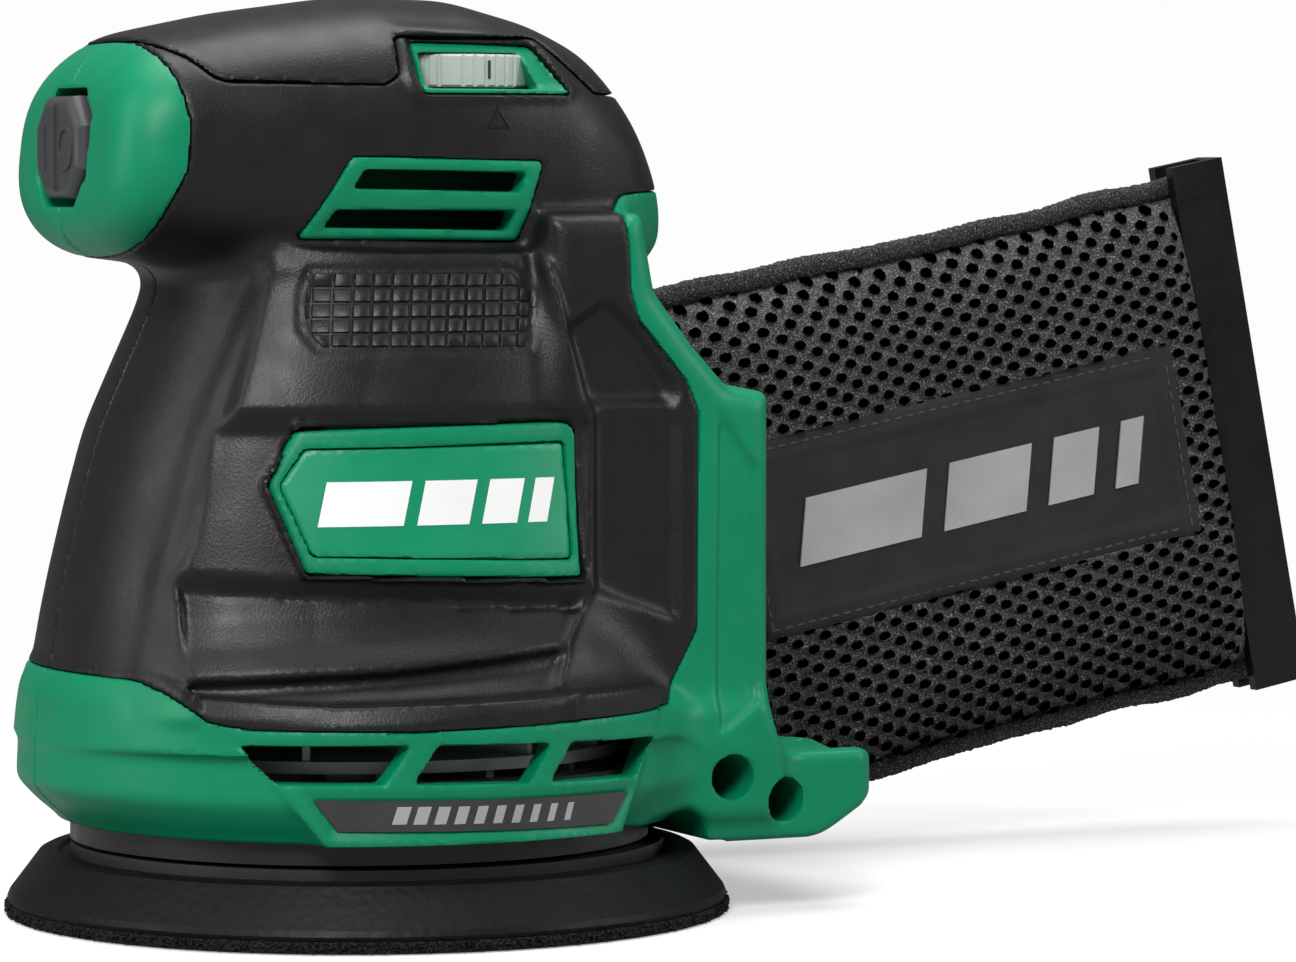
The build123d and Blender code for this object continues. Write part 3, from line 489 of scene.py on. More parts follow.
GRIP_ZONE = [
    (-46.5, 170), (-45.6, 150), (-43.4, 143), (-42.2, 136), (-42.6, 128.5), (-45.6, 121.6), (-48.5, 112),
    (-60, 112), (-66, 43.9),
    (-50.8, 43.6), (-47.8, 41.6), (-43.4, 37.4), (-38, 36.4), (-13.1, 35.9), (31, 36.9), (40, 37.4),
    (41.6, 39.2), (47.3, 49.5), (47.7, 87.1), (45.2, 92.6), (36.4, 103), (35, 107.5),
    (34.3, 120), (37, 124), (70, 126), (70, 170),
]
TOP_ZONE = [
    (-48, 152), (-44, 149), (-40.5, 146.8), (-37, 143.4), (-35, 142.8), (-8, 142.5), (-5.5, 144),
    (-4.7, 150.6), (23, 150.6), (30, 143.5), (32.5, 141.2), (60, 140.6), (60, 170), (-48, 170),
]
VENT = [(-14.4, 130.4), (20.5, 129.7), (16.9, 116.3), (-22.4, 116.7)]
VENT_SLOTS = [
    [(-12.2, 128.4), (17.4, 127.8), (16.2, 124.5), (-14.2, 125.1)],
    [(-16.6, 121.6), (15.9, 121.4), (14.9, 118), (-18.5, 118.6)],
]
DIAL_SURROUND = [(-4, 152.4), (21.9, 151.2), (27.6, 142.2), (26.4, 140.4), (-2.2, 140.6), (-4, 143)]
DIAL_FRAME = [(-1.5, 149.6), (21.5, 149.2), (26.5, 141), (-1.5, 141)]
DIAL_WINDOW = [(-0.5, 148), (18.6, 148), (21, 141.9), (-0.5, 141.9)]
LOWER_WINDOWS = [
    [(-39.4, 33.8), (-34, 27.5), (-17.8, 27.5), (-13.6, 33.8)],
    [(-9.2, 33.7), (-13.4, 27.4), (6.9, 26.9), (11.4, 33.4)],
    [(15.4, 33.2), (11, 26.8), (29.6, 26.3), (34.6, 32.6)],
]
PANEL = [(-44.5, 41), (-27, 17.2), (26.5, 17.2), (38, 41)]
LABEL = [(-28.9, 25), (-25.4, 19.9), (23.8, 19), (27.8, 24)]
LABEL_BED = [(-30.6, 26.4), (-26.2, 18.6), (24.6, 17.8), (30.2, 25.2)]
BADGE = [(-25.3, 84.9), (22.2, 85.7), (24.2, 84.4), (24.8, 59.4), (-25.3, 61.3), (-30.3, 75.9)]
PLATE = [(-24.4, 81.9), (22.4, 82.4), (23.2, 62.3), (-24.2, 64), (-28.7, 75.8)]
LEFT_RIDGE = (
    [36, 43.8, 56.3, 61.4, 66.4, 75.5, 84.1, 88.3, 101.7, 113],
    [-44.8, -44.8, -43.8, -44.2, -41.8, -39.2, -36.9, -35.2, -30.2, -26.2],
)
RIGHT_RIDGE = ([40, 48.6, 57.7, 87.8, 101.4, 114], [16, 20.3, 27, 27, 22.4, 19.4])
GRIP_TILES = [
    (-21.2, 111.9), (14.8, 111.7), (18.2, 107.6), (16.2, 97.6), (-21.4, 98), (-23.8, 101.6), (-23, 107.5),
]
CHEEK = [(28.2, 87.2), (42.2, 87.2), (43.6, 85.4), (43.6, 51.6), (28.2, 57)]
CHEEK_TOP = [(23.5, 101.4), (30.5, 106), (36.6, 100.5), (43.4, 91), (42.4, 88.4), (26.5, 88.4)]
DOCK_CHEEK = [(51.6, 87), (58.8, 77), (58.8, 37), (51, 31.5)]
FOOT_WEB = [(36, 33), (58, 35), (62, 28), (62, 18.5), (50, 18.5), (36, 20)]
FOOT_PLAN = [(50, -36), (80, -36), (82, -34.5), (88, 0), (82, 34.5), (80, 36), (50, 36)]
WELLS = [
    (-46.5, 50, 1), (-31, 97, 1), (31, 112, 1), (45.5, 40, 1), (53.5, 24, -1), (64.5, 19.5, -1),
]
WELL_R, BOSS_R, SCREW_Y = 3.9, 4.6, 15.0
# the bumper's front, rear and half width at its heights
BUMPER_Z = (BODY_BOTTOM, 20.6, BUMPER_EDGE, BUMPER_TOP, 44)
BUMPER = [(-52, -56.4, -59.6, -58.8, -57), (52.5, 56, 59, 57, 55), (52.6, 55.4, 57.6, 56.4, 54)]
# outline, softening, width of its edge and height of its floor
RECESSES = [(CHEEK, 0.6, 2.6, -1.3), (CHEEK_TOP, 0.8, 4, -2.6), (DOCK_CHEEK, 0.5, 1.4, -1)]
# the ribs that carry the motor: lowest and highest z, bore and rear end
SEATS = [(36.6, 38, 33, 51), (56, 58, 25, 33), (68, 70, 25, 33), (81, 85, 23.5, 33)]


def meet(*fields):
    """What is inside every field."""
    return reduce(np.maximum, fields)


def join(*fields):
    """What is inside any field."""
    return reduce(np.minimum, fields)


def cut(field, *tools):
    """A field with other fields taken out of it."""
    return meet(field, *(-tool for tool in tools))


class Body:
    """The sculpted body as a distance field on a grid, negative inside, in millimetres."""

    def __init__(self, step):
        self.step = step
        low, high = (-66, -62, 10), (92, 62, 162)
        self.axes = [np.arange(a, b, step) + 0.31 * step for a, b in zip(low, high)]
        self.origin = np.array([axis[0] for axis in self.axes])
        x, y, z = (axis.astype(np.float32) for axis in self.axes)
        self.x, self.y, self.z = x[:, None, None], y[None, :, None], z[None, None, :]
        self.side, self.radius = np.abs(self.y), np.hypot(self.x, self.y)
        self.oval = self.waist()
        self.outer = self.relief(self.form())
        self.zone = self.flat(GRIP_ZONE, 0.5)

    def plan(self, points, soften=0):
        """A side-view outline's distance along the length and height."""
        return outline(points, self.axes[0], self.axes[2], soften).astype(np.float32)

    def flat(self, points, soften=0):
        """The same, spread across the width."""
        return self.plan(points, soften)[:, None, :]

    def box(self, x0, x1, y0, y1, z0, z1):
        return meet(x0 - self.x, self.x - x1, y0 - self.y, self.y - y1, z0 - self.z, self.z - z1)

    def level(self, points, soften, along):
        values = profile(self.axes[along], points, soften).astype(np.float32)
        return values[:, None, None] if along == 0 else values[None, None, :]

    def waist(self):
        front, rear = self.level(WAIST_FRONT, 2.5, 2), self.level(WAIST_REAR, 2.5, 2)
        half = self.level(WAIST_HALF, 0.8, 2)
        middle = (front + rear) / 2
        d = oval_distance(self.x - middle, self.y, (rear - front) / 2, half, WAIST_POWER)
        return meet(d, WAIST_LOW - self.z, self.z - WAIST_TOP)

    def head(self):
        half = self.level(HEAD_HALF, 2.5, 0)
        low, high = self.level(HEAD_LOW, 2.5, 0), self.level(HEAD_HIGH, 2, 0)
        d = oval_distance(self.y, self.z - (low + high) / 2, half, (high - low) / 2, HEAD_POWER)
        lean = 0.12 * (self.z - SWITCH_Z)
        crown = 0.5 * (self.y / 27) ** 2 + 0.8 * ((self.z - SWITCH_Z) / 18) ** 2
        face = HEAD_FACE_X + lean + crown - self.x
        d = smax(d, face.astype(np.float32), 9)
        return smax(d, self.x - HEAD_BACK_X, 3)

    def bumper(self):
        front, rear, half = (self.level(list(zip(BUMPER_Z, values)), 0.8, 2) for values in BUMPER)
        d = oval_distance(self.x - (front + rear) / 2, self.y, (rear - front) / 2, half, 2)
        top = self.z - self.level([(-60, 44), (-49, 44), (-43, BUMPER_LIP), (60, BUMPER_LIP)], 1, 0)
        return smax(meet(d, BODY_BOTTOM - self.z), top, 1.5)

    def foot(self):
        plan = outline(FOOT_PLAN, *self.axes[:2]).astype(np.float32)[:, :, None]
        d = smax(smax(plan, self.z - FOOT_TOP, 2), FOOT_BOTTOM - self.z, 1.6)
        d = smax(d, ((self.x - 72) * 0.63 + FOOT_BOTTOM - self.z) * 0.85, 1.6)
        dish = np.hypot(self.x - 82, self.z - 44) - 18.6
        d = smax(d, -meet(dish, self.side - 30), 1.2)
        return cut(d, meet(self.radius - PAD_ROOM_R, self.z - 13))

    def form(self):
        dock = smax(self.flat(DOCK_OUTLINE, 0.6), self.side - DOCK_HALF, 5)
        d = smin(self.oval, self.head(), 5)
        d = smin(d, dock, 3)
        d = smin(d, self.bumper(), 2.2)
        d = smin(d, self.foot(), 2)
        d = smin(d, smax(self.flat(FOOT_WEB, 1), self.side - DOCK_HALF, 2), 7)
        panel_oval = oval_distance(self.x - PANEL_X, self.y, PANEL_HALF_X, PANEL_HALF_Y, 2)
        panel = meet(panel_oval, 20 - self.side, self.flat(PANEL))
        d = smin(d, panel, 1)
        badge = smax(self.oval - BADGE_PROUD, self.flat(BADGE), 0.6)
        return smin(d, meet(badge, 24 - self.side), 0.3)

    def relief(self, d):
        """The moulded steps and ridges on both sides of the waist."""
        xs, zs = self.axes[0], self.axes[2]
        px, pz = np.meshgrid(xs, zs, indexing="ij")
        ridge = np.interp(zs, *RIGHT_RIDGE)[None, :]
        left = np.interp(zs, *LEFT_RIDGE)[None, :]
        across = step_up(px - left, 1.6) * step_up(ridge - px, 2)
        slanted = pz + 0.0616 * (px + 43.5)
        arc = np.interp(px, [-46, -12.5, 20], [44.3, 45.7, 48.6])
        upper = np.interp(pz, [84.5, 88.7, 100, 112, 116], [-0.5, 2.3, 1.3, 0.3, 0])
        lower = np.interp(slanted, [57.9, 61.9, 70, 84], [-1.9, 1, 0.5, -0.5])
        bottom = np.interp(pz - arc, [-10.6, -8.4, -5.6, -3.2, -1.8, -0.3, 0.3, 4.5],
                           [0, 0.35, -0.7, -1.5, -1.3, 0.6, 0.75, -0.6])
        rise = np.where(pz > 84.5, upper, np.where(slanted > 57.9, lower, meet(-1.9, bottom)))
        rise = np.where(pz < arc + 4.5, bottom, np.where(slanted < 57.9, np.interp(
            pz - arc, [4.5, 9], [-0.6, -1.5]), rise))
        height = across * blur(rise, 0.28 / self.step)
        tall = step_up(pz - 37, 3) * step_up(114 - pz, 6)
        crease = np.where(px < left, 1 - (left - px) / 7, 1 - (px - left) / 20)
        height += 1.9 * np.clip(crease, 0, 1) * tall
        crest = np.exp(-((px - ridge) / 1) ** 2) * 0.8 * tall
        hollow = -2.0 * step_up(px - ridge - 1.6, 3) * tall * step_up(49 - px, 3)
        height += crest + hollow * (self.plan(DOCK_OUTLINE) > 3)
        height += sum(step_up(-self.plan(shape, soften), w) * deep for shape, soften, w, deep in RECESSES)
        height += step_up(-self.plan(VENT, 0.5), 1) * 0.35
        tiles = self.plan(GRIP_TILES, 0.5)
        groove = np.exp(-((tiles + 0.2) / 0.5) ** 2) * -0.45
        bed = step_up(-tiles - 1, 0.8) * -0.55
        height += groove + bed
        height = np.where(self.plan(BADGE) < 0.3, 0, height)
        d = d - height.astype(np.float32)[:, None, :] * step_up(self.side - 24, 6)
        label = step_up(-self.plan(LABEL_BED, 0.3), 0.8) * -0.35
        label += step_up(-self.plan(LABEL), 0.6) * -0.55
        d = d - label.astype(np.float32)[:, None, :] * step_up(self.side - 30, 4)
        surround = self.plan(DIAL_SURROUND, 0.8)
        lip = np.exp(-((surround + 0.4) / 1) ** 2) * 0.8 - step_up(-surround - 1.6, 1.6) * 1.1
        d = d - lip.astype(np.float32)[:, None, :] * step_up(-self.y - 12, 6)
        self.plate = self.flat(PLATE, 0.4)
        return cut(d, meet(self.plate, PLATE_PROUD - PLATE_T - 0.1 - self.oval))

    def room(self):
        """The hollow inside, with the ribs and bosses left standing."""
        d = meet(self.outer + WALL, self.box(-70, DOCK_FLOOR_X - 3, -60, 60, 22, 170))
        d = join(d, meet(self.radius - BORE_R, self.z - 24))
        for z0, z1, radius, rear in SEATS:
            d = cut(d, meet(self.box(-70, rear, -60, 60, z0, z1), radius - self.radius))
        d = cut(d, cut(self.box(-70, 33, -60, 60, 95.5, 97.5), self.box(-26, 24, -12, 12, 90, 99)))
        for z0, z1 in ((121, SWITCH_Z - 8), (SWITCH_Z + 8, 143)):
            d = cut(d, self.box(-60, -29, -40, 40, z0, z1))
        d = cut(d, self.box(-22, 30, -1.2, 1.2, 112, 131))
        for x, z, _ in WELLS:
            d = meet(d, BOSS_R - np.hypot(self.x - x, self.z - z))
        return d

    def openings(self):
        """Everything cut through or into the hard housing."""
        vents = meet(join(*(self.flat(p, 0.35) for p in VENT_SLOTS + LOWER_WINDOWS)), 12 - self.side)
        window = meet(self.flat(DIAL_WINDOW, 0.3), self.y + 10)
        rise = np.abs(self.z - SWITCH_Z)
        ey, ez = self.side - SWITCH_W / 2 - SWITCH_GAP, rise - SWITCH_H / 2 - SWITCH_GAP
        corner = self.side + rise - (SWITCH_W + SWITCH_H) / 2 - 2 * SWITCH_GAP + SWITCH_CORNER
        switch = meet(ey, ez, corner * 0.7071, self.x + 46)
        slot = self.box(DOCK_FLOOR_X, 99, -31, 31, DOCK_STOP_Z, 160)
        for y0, y1 in ((-32, -27), (27, 32)):
            slot = cut(slot, self.box(DOCK_X - 2, 99, y0, y1, DOCK_STOP_Z - 1, 84))
        terminals = self.box(DOCK_FLOOR_X - 6, DOCK_FLOOR_X + 1, -14.3, 14.3, 43.7, 80.3)
        fan_room = meet(self.radius - FAN_ROOM_R, self.z - 36.4, 10 - self.z)
        return join(vents, window, switch, slot, terminals, fan_room)

    def wells(self):
        """The screw wells and the dust outlet's bore."""
        bores = (meet(np.hypot(self.x - x, self.z - z) - WELL_R, SCREW_Y - hand * self.y)
                 for x, z, hand in WELLS)
        return join(*bores, self.outlet())

    def outlet(self):
        """The dust outlet's bore through the far side."""
        dx, dy, dz = (axis - at for axis, at in zip((self.x, self.y, self.z), BAG_START))
        along = dx * math.cos(BAG_TILT) + dz * math.sin(BAG_TILT)
        up = dz * math.cos(BAG_TILT) - dx * math.sin(BAG_TILT)
        return meet(np.hypot(dy, up) - OUTLET_BORE_R, -OUTLET_BACK - along)


EVENING = (0.5, -0.53) * 3    # shares of the way to the neighbours' mean, in turn inwards and back out


def surface(field, origin, step):
    """The field's surface, with the small steps left by the grid evened out and its size kept."""
    verts, quads = big_islands(*isosurface(field, origin, step))
    one, other = quads.ravel(), np.roll(quads, -1, 1).ravel()
    ends, others = np.concatenate([one, other]), np.concatenate([other, one])
    count = np.bincount(ends, minlength=len(verts))[:, None]
    for share in EVENING:
        mean = np.stack([np.bincount(ends, verts[others, k], len(verts)) for k in range(3)], 1) / count
        verts = verts + share * (mean - verts)
    return verts, quads


def overlay(body, gap):
    """Where the soft overmould lies: inside the grip's outline, clear of its windows."""
    frame_hole = meet(body.flat(DIAL_FRAME, 0.3), body.y + 5)
    holes = (body.flat(VENT, 0.4), body.flat(BADGE, 0.4), frame_hole)
    return meet(body.zone + gap, *(gap - hole for hole in holes))


SEAM, FIT = 0.07, 0.12    # half the gap between the halves, and the overmould's clearance at its outline
CROWN_GAP, CROWN_PROUD = 0.14, 0.22


def build_body(step):
    """The shells, the overmould, the badge plates and the palm cover, from one field."""
    body = Body(step)

    def built(name, field, part, mat, node):
        shift = np.array([0, body.axes[1][part][0] - body.axes[1][0], 0])
        verts, quads = surface(field[:, part, :], body.origin + shift, step)
        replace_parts(mesh_piece(name, verts, quads, mat, "tool"), node)

    wells, room, cuts = body.wells(), body.room(), body.openings()
    hard = cut(body.outer, meet(overlay(body, 0), -(body.outer + SKIN)), room, cuts, wells)
    crown = body.flat(TOP_ZONE, 0.5)
    bed = meet(-(body.outer + SKIN - 0.05), overlay(body, FIT))
    grip = cut(meet(body.outer, bed, CROWN_GAP - crown), wells)
    palm = meet(body.outer - CROWN_PROUD, bed, crown + CROWN_GAP)
    middle = int(np.searchsorted(body.axes[1], 0))
    halves = (("left", slice(0, middle + 3), 1), ("right", slice(middle - 3, None), -1))
    for name, part, hand in halves:
        for node, field, mat in (("housing", hard, "green_shell"), ("grip", grip, "soft_grip")):
            half = meet(field, hand * body.y + SEAM)
            built(f"{node}_shell_{name}", half, part, mat, f"{node}_{name}")
        plate = meet(body.oval - PLATE_PROUD, PLATE_PROUD - PLATE_T - body.oval, body.plate + 0.2,
                     20 + hand * body.y)
        built(f"badge_plate_{name}", plate, part, "nameplate_green", f"nameplate_{name}")
    built("palm_cover", palm, slice(None), "palm_skin", "palm_pad")
    return body


STEP = 0.6
BODY = build_body(STEP)


# ======== small marks and tiles
def clipped(polygon, window):
    """A convex polygon cut to a convex window, both anticlockwise."""
    for (x0, z0), (x1, z1) in zip(window, window[1:] + window[:1]):
        kept = []
        for (ax, az), (bx, bz) in zip(polygon, polygon[1:] + polygon[:1]):
            sa = (x1 - x0) * (az - z0) - (z1 - z0) * (ax - x0)
            sb = (x1 - x0) * (bz - z0) - (z1 - z0) * (bx - x0)
            if sa >= 0:
                kept.append((ax, az))
            if (sa >= 0) != (sb >= 0):
                t = sa / (sa - sb)
                kept.append((ax + t * (bx - ax), az + t * (bz - az)))
        polygon = kept
        if len(polygon) < 3:
            return []
    return polygon


def shrunk(polygon, amount):
    """A small convex polygon drawn towards its centre by about amount."""
    cx = sum(p[0] for p in polygon) / len(polygon)
    cz = sum(p[1] for p in polygon) / len(polygon)
    out = []
    for x, z in polygon:
        away = math.hypot(x - cx, z - cz)
        k = max(0.1, 1 - amount * 1.3 / max(away, 1e-6))
        out.append((cx + (x - cx) * k, cz + (z - cz) * k))
    return out


class Stamp:
    """Collects raised marks that follow a surface, as one closed mesh per mark."""

    def __init__(self, place):
        self.place, self.verts, self.faces = place, [], []

    def mark(self, polygon, low, high, bevel=0.12):
        """polygon in surface coordinates, standing from low to high above the surface."""
        rings = [(polygon, low), (polygon, high - bevel), (shrunk(polygon, bevel), high)]
        start, n = len(self.verts), len(polygon)
        for ring_points, lift in rings:
            self.verts += [self.place(a, b, lift) for a, b in ring_points]
        for level in range(len(rings) - 1):
            base = start + level * n
            for i in range(n):
                j = (i + 1) % n
                self.faces.append((base + i, base + j, base + n + j, base + n + i))
        self.faces.append(tuple(range(start + (len(rings) - 1) * n, start + len(rings) * n)))
        self.faces.append(tuple(reversed(range(start, start + n))))

    def piece(self, name, mat, body, slot_name, sharp=25):
        mesh_piece(name, self.verts, self.faces, mat, body, sharp)


def bar(x0, x1, z0, z1, lean=0, parts=1):
    """A slanted bar as a list of short pieces that can bend with the surface."""
    made = []
    for i in range(parts):
        a, b = x0 + (x1 - x0) * i / parts, x0 + (x1 - x0) * (i + 1) / parts
        made.append([(a, z0), (b, z0), (b + lean, z1), (a + lean, z1)])
    return made


def body_side(hand, field=None):
    """Places (x, z, lift) on a field's side, hand -1 for the dial side and 1 for the far side."""
    field = BODY.outer if field is None else field
    x_axis, y_axis, z_axis = BODY.axes
    order = slice(None) if hand < 0 else slice(None, None, -1)
    ys = y_axis[order]

    def place(x, z, lift):
        i = (x - x_axis[0]) / STEP
        k = (z - z_axis[0]) / STEP
        i0, k0 = int(i), int(k)
        fi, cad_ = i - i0, k - k0
        block = field[i0:i0 + 2, order, k0:k0 + 2]
        line = (block[0, :, 0] * (1 - fi) * (1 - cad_) + block[1, :, 0] * fi * (1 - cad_)
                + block[0, :, 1] * (1 - fi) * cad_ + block[1, :, 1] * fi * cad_)
        n = int(np.argmax(line < 0))
        t = line[n - 1] / (line[n - 1] - line[n])
        y = ys[n - 1] + t * (ys[n] - ys[n - 1])
        return (x, y + hand * lift, z)

    return place


LEAST_TILE = (0.9, 0.7)    # smaller cut tiles are left out


def grip_tiles():
    """The block of small raised tiles for the fingertips, on both sides."""
    cx, cz = -2.8, 104.8
    window = [(cx + (x - cx) * 0.955, cz + (z - cz) * 0.86) for x, z in reversed(GRIP_TILES)]
    pitch_x, pitch_z, size_x, size_z = 3.3, 2.55, 2.8, 2.1
    for hand, name in ((-1, "left"), (1, "right")):
        stamp = Stamp(body_side(hand))
        for row in range(6):
            z = 98.6 + row * pitch_z
            for col in range(16):
                x = -29.0 + col * pitch_x + 0.16 * (z - 98)
                tile = [(x, z), (x + size_x, z), (x + size_x + 0.3, z + size_z), (x + 0.3, z + size_z)]
                tile = clipped(tile, window)
                if tile and (np.ptp(tile, axis=0) > LEAST_TILE).all():
                    stamp.mark(tile, -0.3, 0.42, 0.16)
        stamp.piece(f"grip_tiles_{name}", "soft_grip", "tool", "soft_grip", 50)


def plain_marks():
    """Generic stripes where the real tool has its maker's lettering."""
    for hand, name in ((-1, "left"), (1, "right")):
        stripes = Stamp(body_side(hand, BODY.oval - PLATE_PROUD))
        for x0, x1 in ((-23, -8.6), (-6.2, 3.2), (5.6, 12.2), (14.4, 18.2)):
            for piece in bar(x0, x1, 69, 76.4, 1.9, 1 + int((x1 - x0) / 3)):
                stripes.mark(piece, -0.05, 0.1, 0)
        stripes.piece(f"badge_stripes_{name}", "white_print", "tool", "nameplate_green")
        ticks = Stamp(label_side(hand))
        for i in range(10):
            x0 = -17.0 + i * 3.4
            base = 20.9 - 0.02 * (x0 + 17)
            for piece in bar(x0, x0 + 2.3 - 0.12 * i, base, base + 2.9, 0.9):
                ticks.mark(piece, -0.05, 0.09, 0.03)
        ticks.piece(f"label_ticks_{name}", "grey_print", "tool", "label_strip")


def label_side(hand):
    """Places (x, z, lift) on the label strip, which follows the bumper's oval."""
    def place(x, z, lift):
        t = (x - PANEL_X) / PANEL_HALF_X
        return (x, hand * (PANEL_HALF_Y * math.sqrt(1 - t * t) + lift), z)

    return place


def dial_marker():
    """The outlined triangle under the dial."""
    stamp = Stamp(body_side(-1))
    outer = [(11.9, 138.9), (9.9, 135.3), (14.1, 135.3)]
    inner = shrunk(outer, 0.45)
    for i in range(3):
        j = (i + 1) % 3
        stamp.mark([outer[i], outer[j], inner[j], inner[i]], -0.3, 0.22, 0.05)
    stamp.piece("dial_marker", "palm_skin", "tool", "soft_grip")


NUMBER_SIZE, NUMBER_DEPTH, NUMBER_STEP = 4.6, 0.12, math.radians(50)


def dial_numbers():
    """The numbers printed round the speed dial's rim."""
    low, high = (np.array(v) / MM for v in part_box("speed_dial"))
    cx, cy, radius = (low[0] + high[0]) / 2, (low[1] + high[1]) / 2, (high[0] - low[0]) / 2
    middle, start = (low[2] + high[2]) / 2, math.radians(-82)
    verts, faces = [], []
    for i in range(6):
        curve = bpy.data.curves.new("number", "FONT")
        curve.body, curve.size, curve.extrude = str(i + 1), NUMBER_SIZE, NUMBER_DEPTH
        curve.align_x, curve.align_y = "CENTER", "CENTER"
        text = placed("number", curve)
        graph = bpy.context.evaluated_depsgraph_get()
        mesh = bpy.data.meshes.new_from_object(text.evaluated_get(graph))
        base = len(verts)
        for v in mesh.vertices:
            angle = start - NUMBER_STEP * i + v.co.x / radius
            r = radius - 0.03 + v.co.z
            verts.append((cx + r * math.cos(angle), cy + r * math.sin(angle), middle + v.co.y))
        faces += [tuple(base + k for k in p.vertices) for p in mesh.polygons]
        bpy.data.objects.remove(text)
    mesh_piece("dial_numbers", verts, faces, "dark_print", "dial", 20)


def switch_marks():
    """The ridge and the on and off signs on the rocker."""
    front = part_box("switch_cap")[0][0] / MM
    stamp = Stamp(lambda y, z, lift: (front - lift, -y, z))
    stamp.mark([(-0.5, 124.6), (0.5, 124.6), (0.5, 139.4), (-0.5, 139.4)], -0.3, 0.45, 0.25)
    stamp.mark([(-6.4, 128), (-5, 128), (-5, 136), (-6.4, 136)], -0.3, 0.3, 0.2)
    count, middle = 28, (5.4, SWITCH_Z)
    for i in range(count):
        t0, t1 = 2 * math.pi * i / count, 2 * math.pi * (i + 1) / count
        rim = [(r * math.cos(t), r * math.sin(t)) for r, t in ((3.6, t0), (3.6, t1), (2.7, t1), (2.7, t0))]
        stamp.mark([(middle[0] + a, middle[1] + b * 1.1) for a, b in rim], -0.3, 0.3, 0.02)
    stamp.piece("switch_signs", "switch_rubber", "rocker", "switch_rubber")


grip_tiles()
plain_marks()
dial_marker()
dial_numbers()
switch_marks()


# ======== the dust bag
BAG_U0, BAG_U1, BAG_TAIL = 54.0, 170.0, 7.6
BAG_V0, BAG_V1, BAG_HALF = -36.2, 64.8, 13.6
HEM, TAIL_HALF, COLLAR_R, NECK_RINGS = 4.2, 1.65, 14.3, 8
PATCH_U, PATCH_V = (62.5, 158.0), (-2.8, 34.4)


def bag_place(u, v, y):
    """Row-frame points for the bag's own (along, up, sideways), in millimetres."""
    c, s_ = math.cos(BAG_TILT), math.sin(BAG_TILT)
    return np.stack([BAG_START[0] + u * c - v * s_, BAG_START[1] + y, BAG_START[2] + u * s_ + v * c], -1)


def bag_thickness(u, edge):
    """Half thickness at u, a distance edge in from the top or bottom seam."""
    rise = step_up(u - BAG_U0 - 3, 16) * 0.3 + 0.7
    close = np.clip((BAG_U1 + 1.0 - u) / 13, 0, 1)
    close = (1 - (1 - close) ** 2.6) ** 0.6
    full = np.maximum(BAG_HALF * rise * close, TAIL_HALF)
    reach = np.clip((edge - HEM) / 40, 0, 1)
    pillow = (1 - (1 - reach) ** 3.4) ** 0.58
    hem = 1.9 * np.sqrt(np.clip(1 - ((edge - 1.9) / 2.2) ** 2, 0.02, 1))
    main = 1.2 + (full - 1.2) * pillow
    return np.where(edge < HEM, np.minimum(hem, full), np.maximum(main, np.minimum(1.1, full)))


def waves(u, v, seed, size, strength):
    """A sum of a few slow waves: the cloth's unevenness."""
    draw = np.random.default_rng(seed)
    total = np.zeros(np.broadcast(u, v).shape)
    for _ in range(7):
        angle, phase = draw.uniform(0, math.pi), draw.uniform(0, 6.28)
        length = size * draw.uniform(0.6, 1.6)
        total += np.sin((u * math.cos(angle) + v * math.sin(angle)) * 2 * math.pi / length + phase)
    return total * strength / 7


# the holes' columns and their spacing in a column, how far both lean, and a hole's half sizes
KNIT, LEAN, HOLE = (2.97, 3.84), (0.113, 0.07), (1.36, 0.94)
DENT, FUZZ = 1.3, 0.085    # depth of a hole and unevenness of the knit
HEM_SHADE = 0.3    # how far the close knit of the seams is darkened by painted shade, a share of the holes' painted black
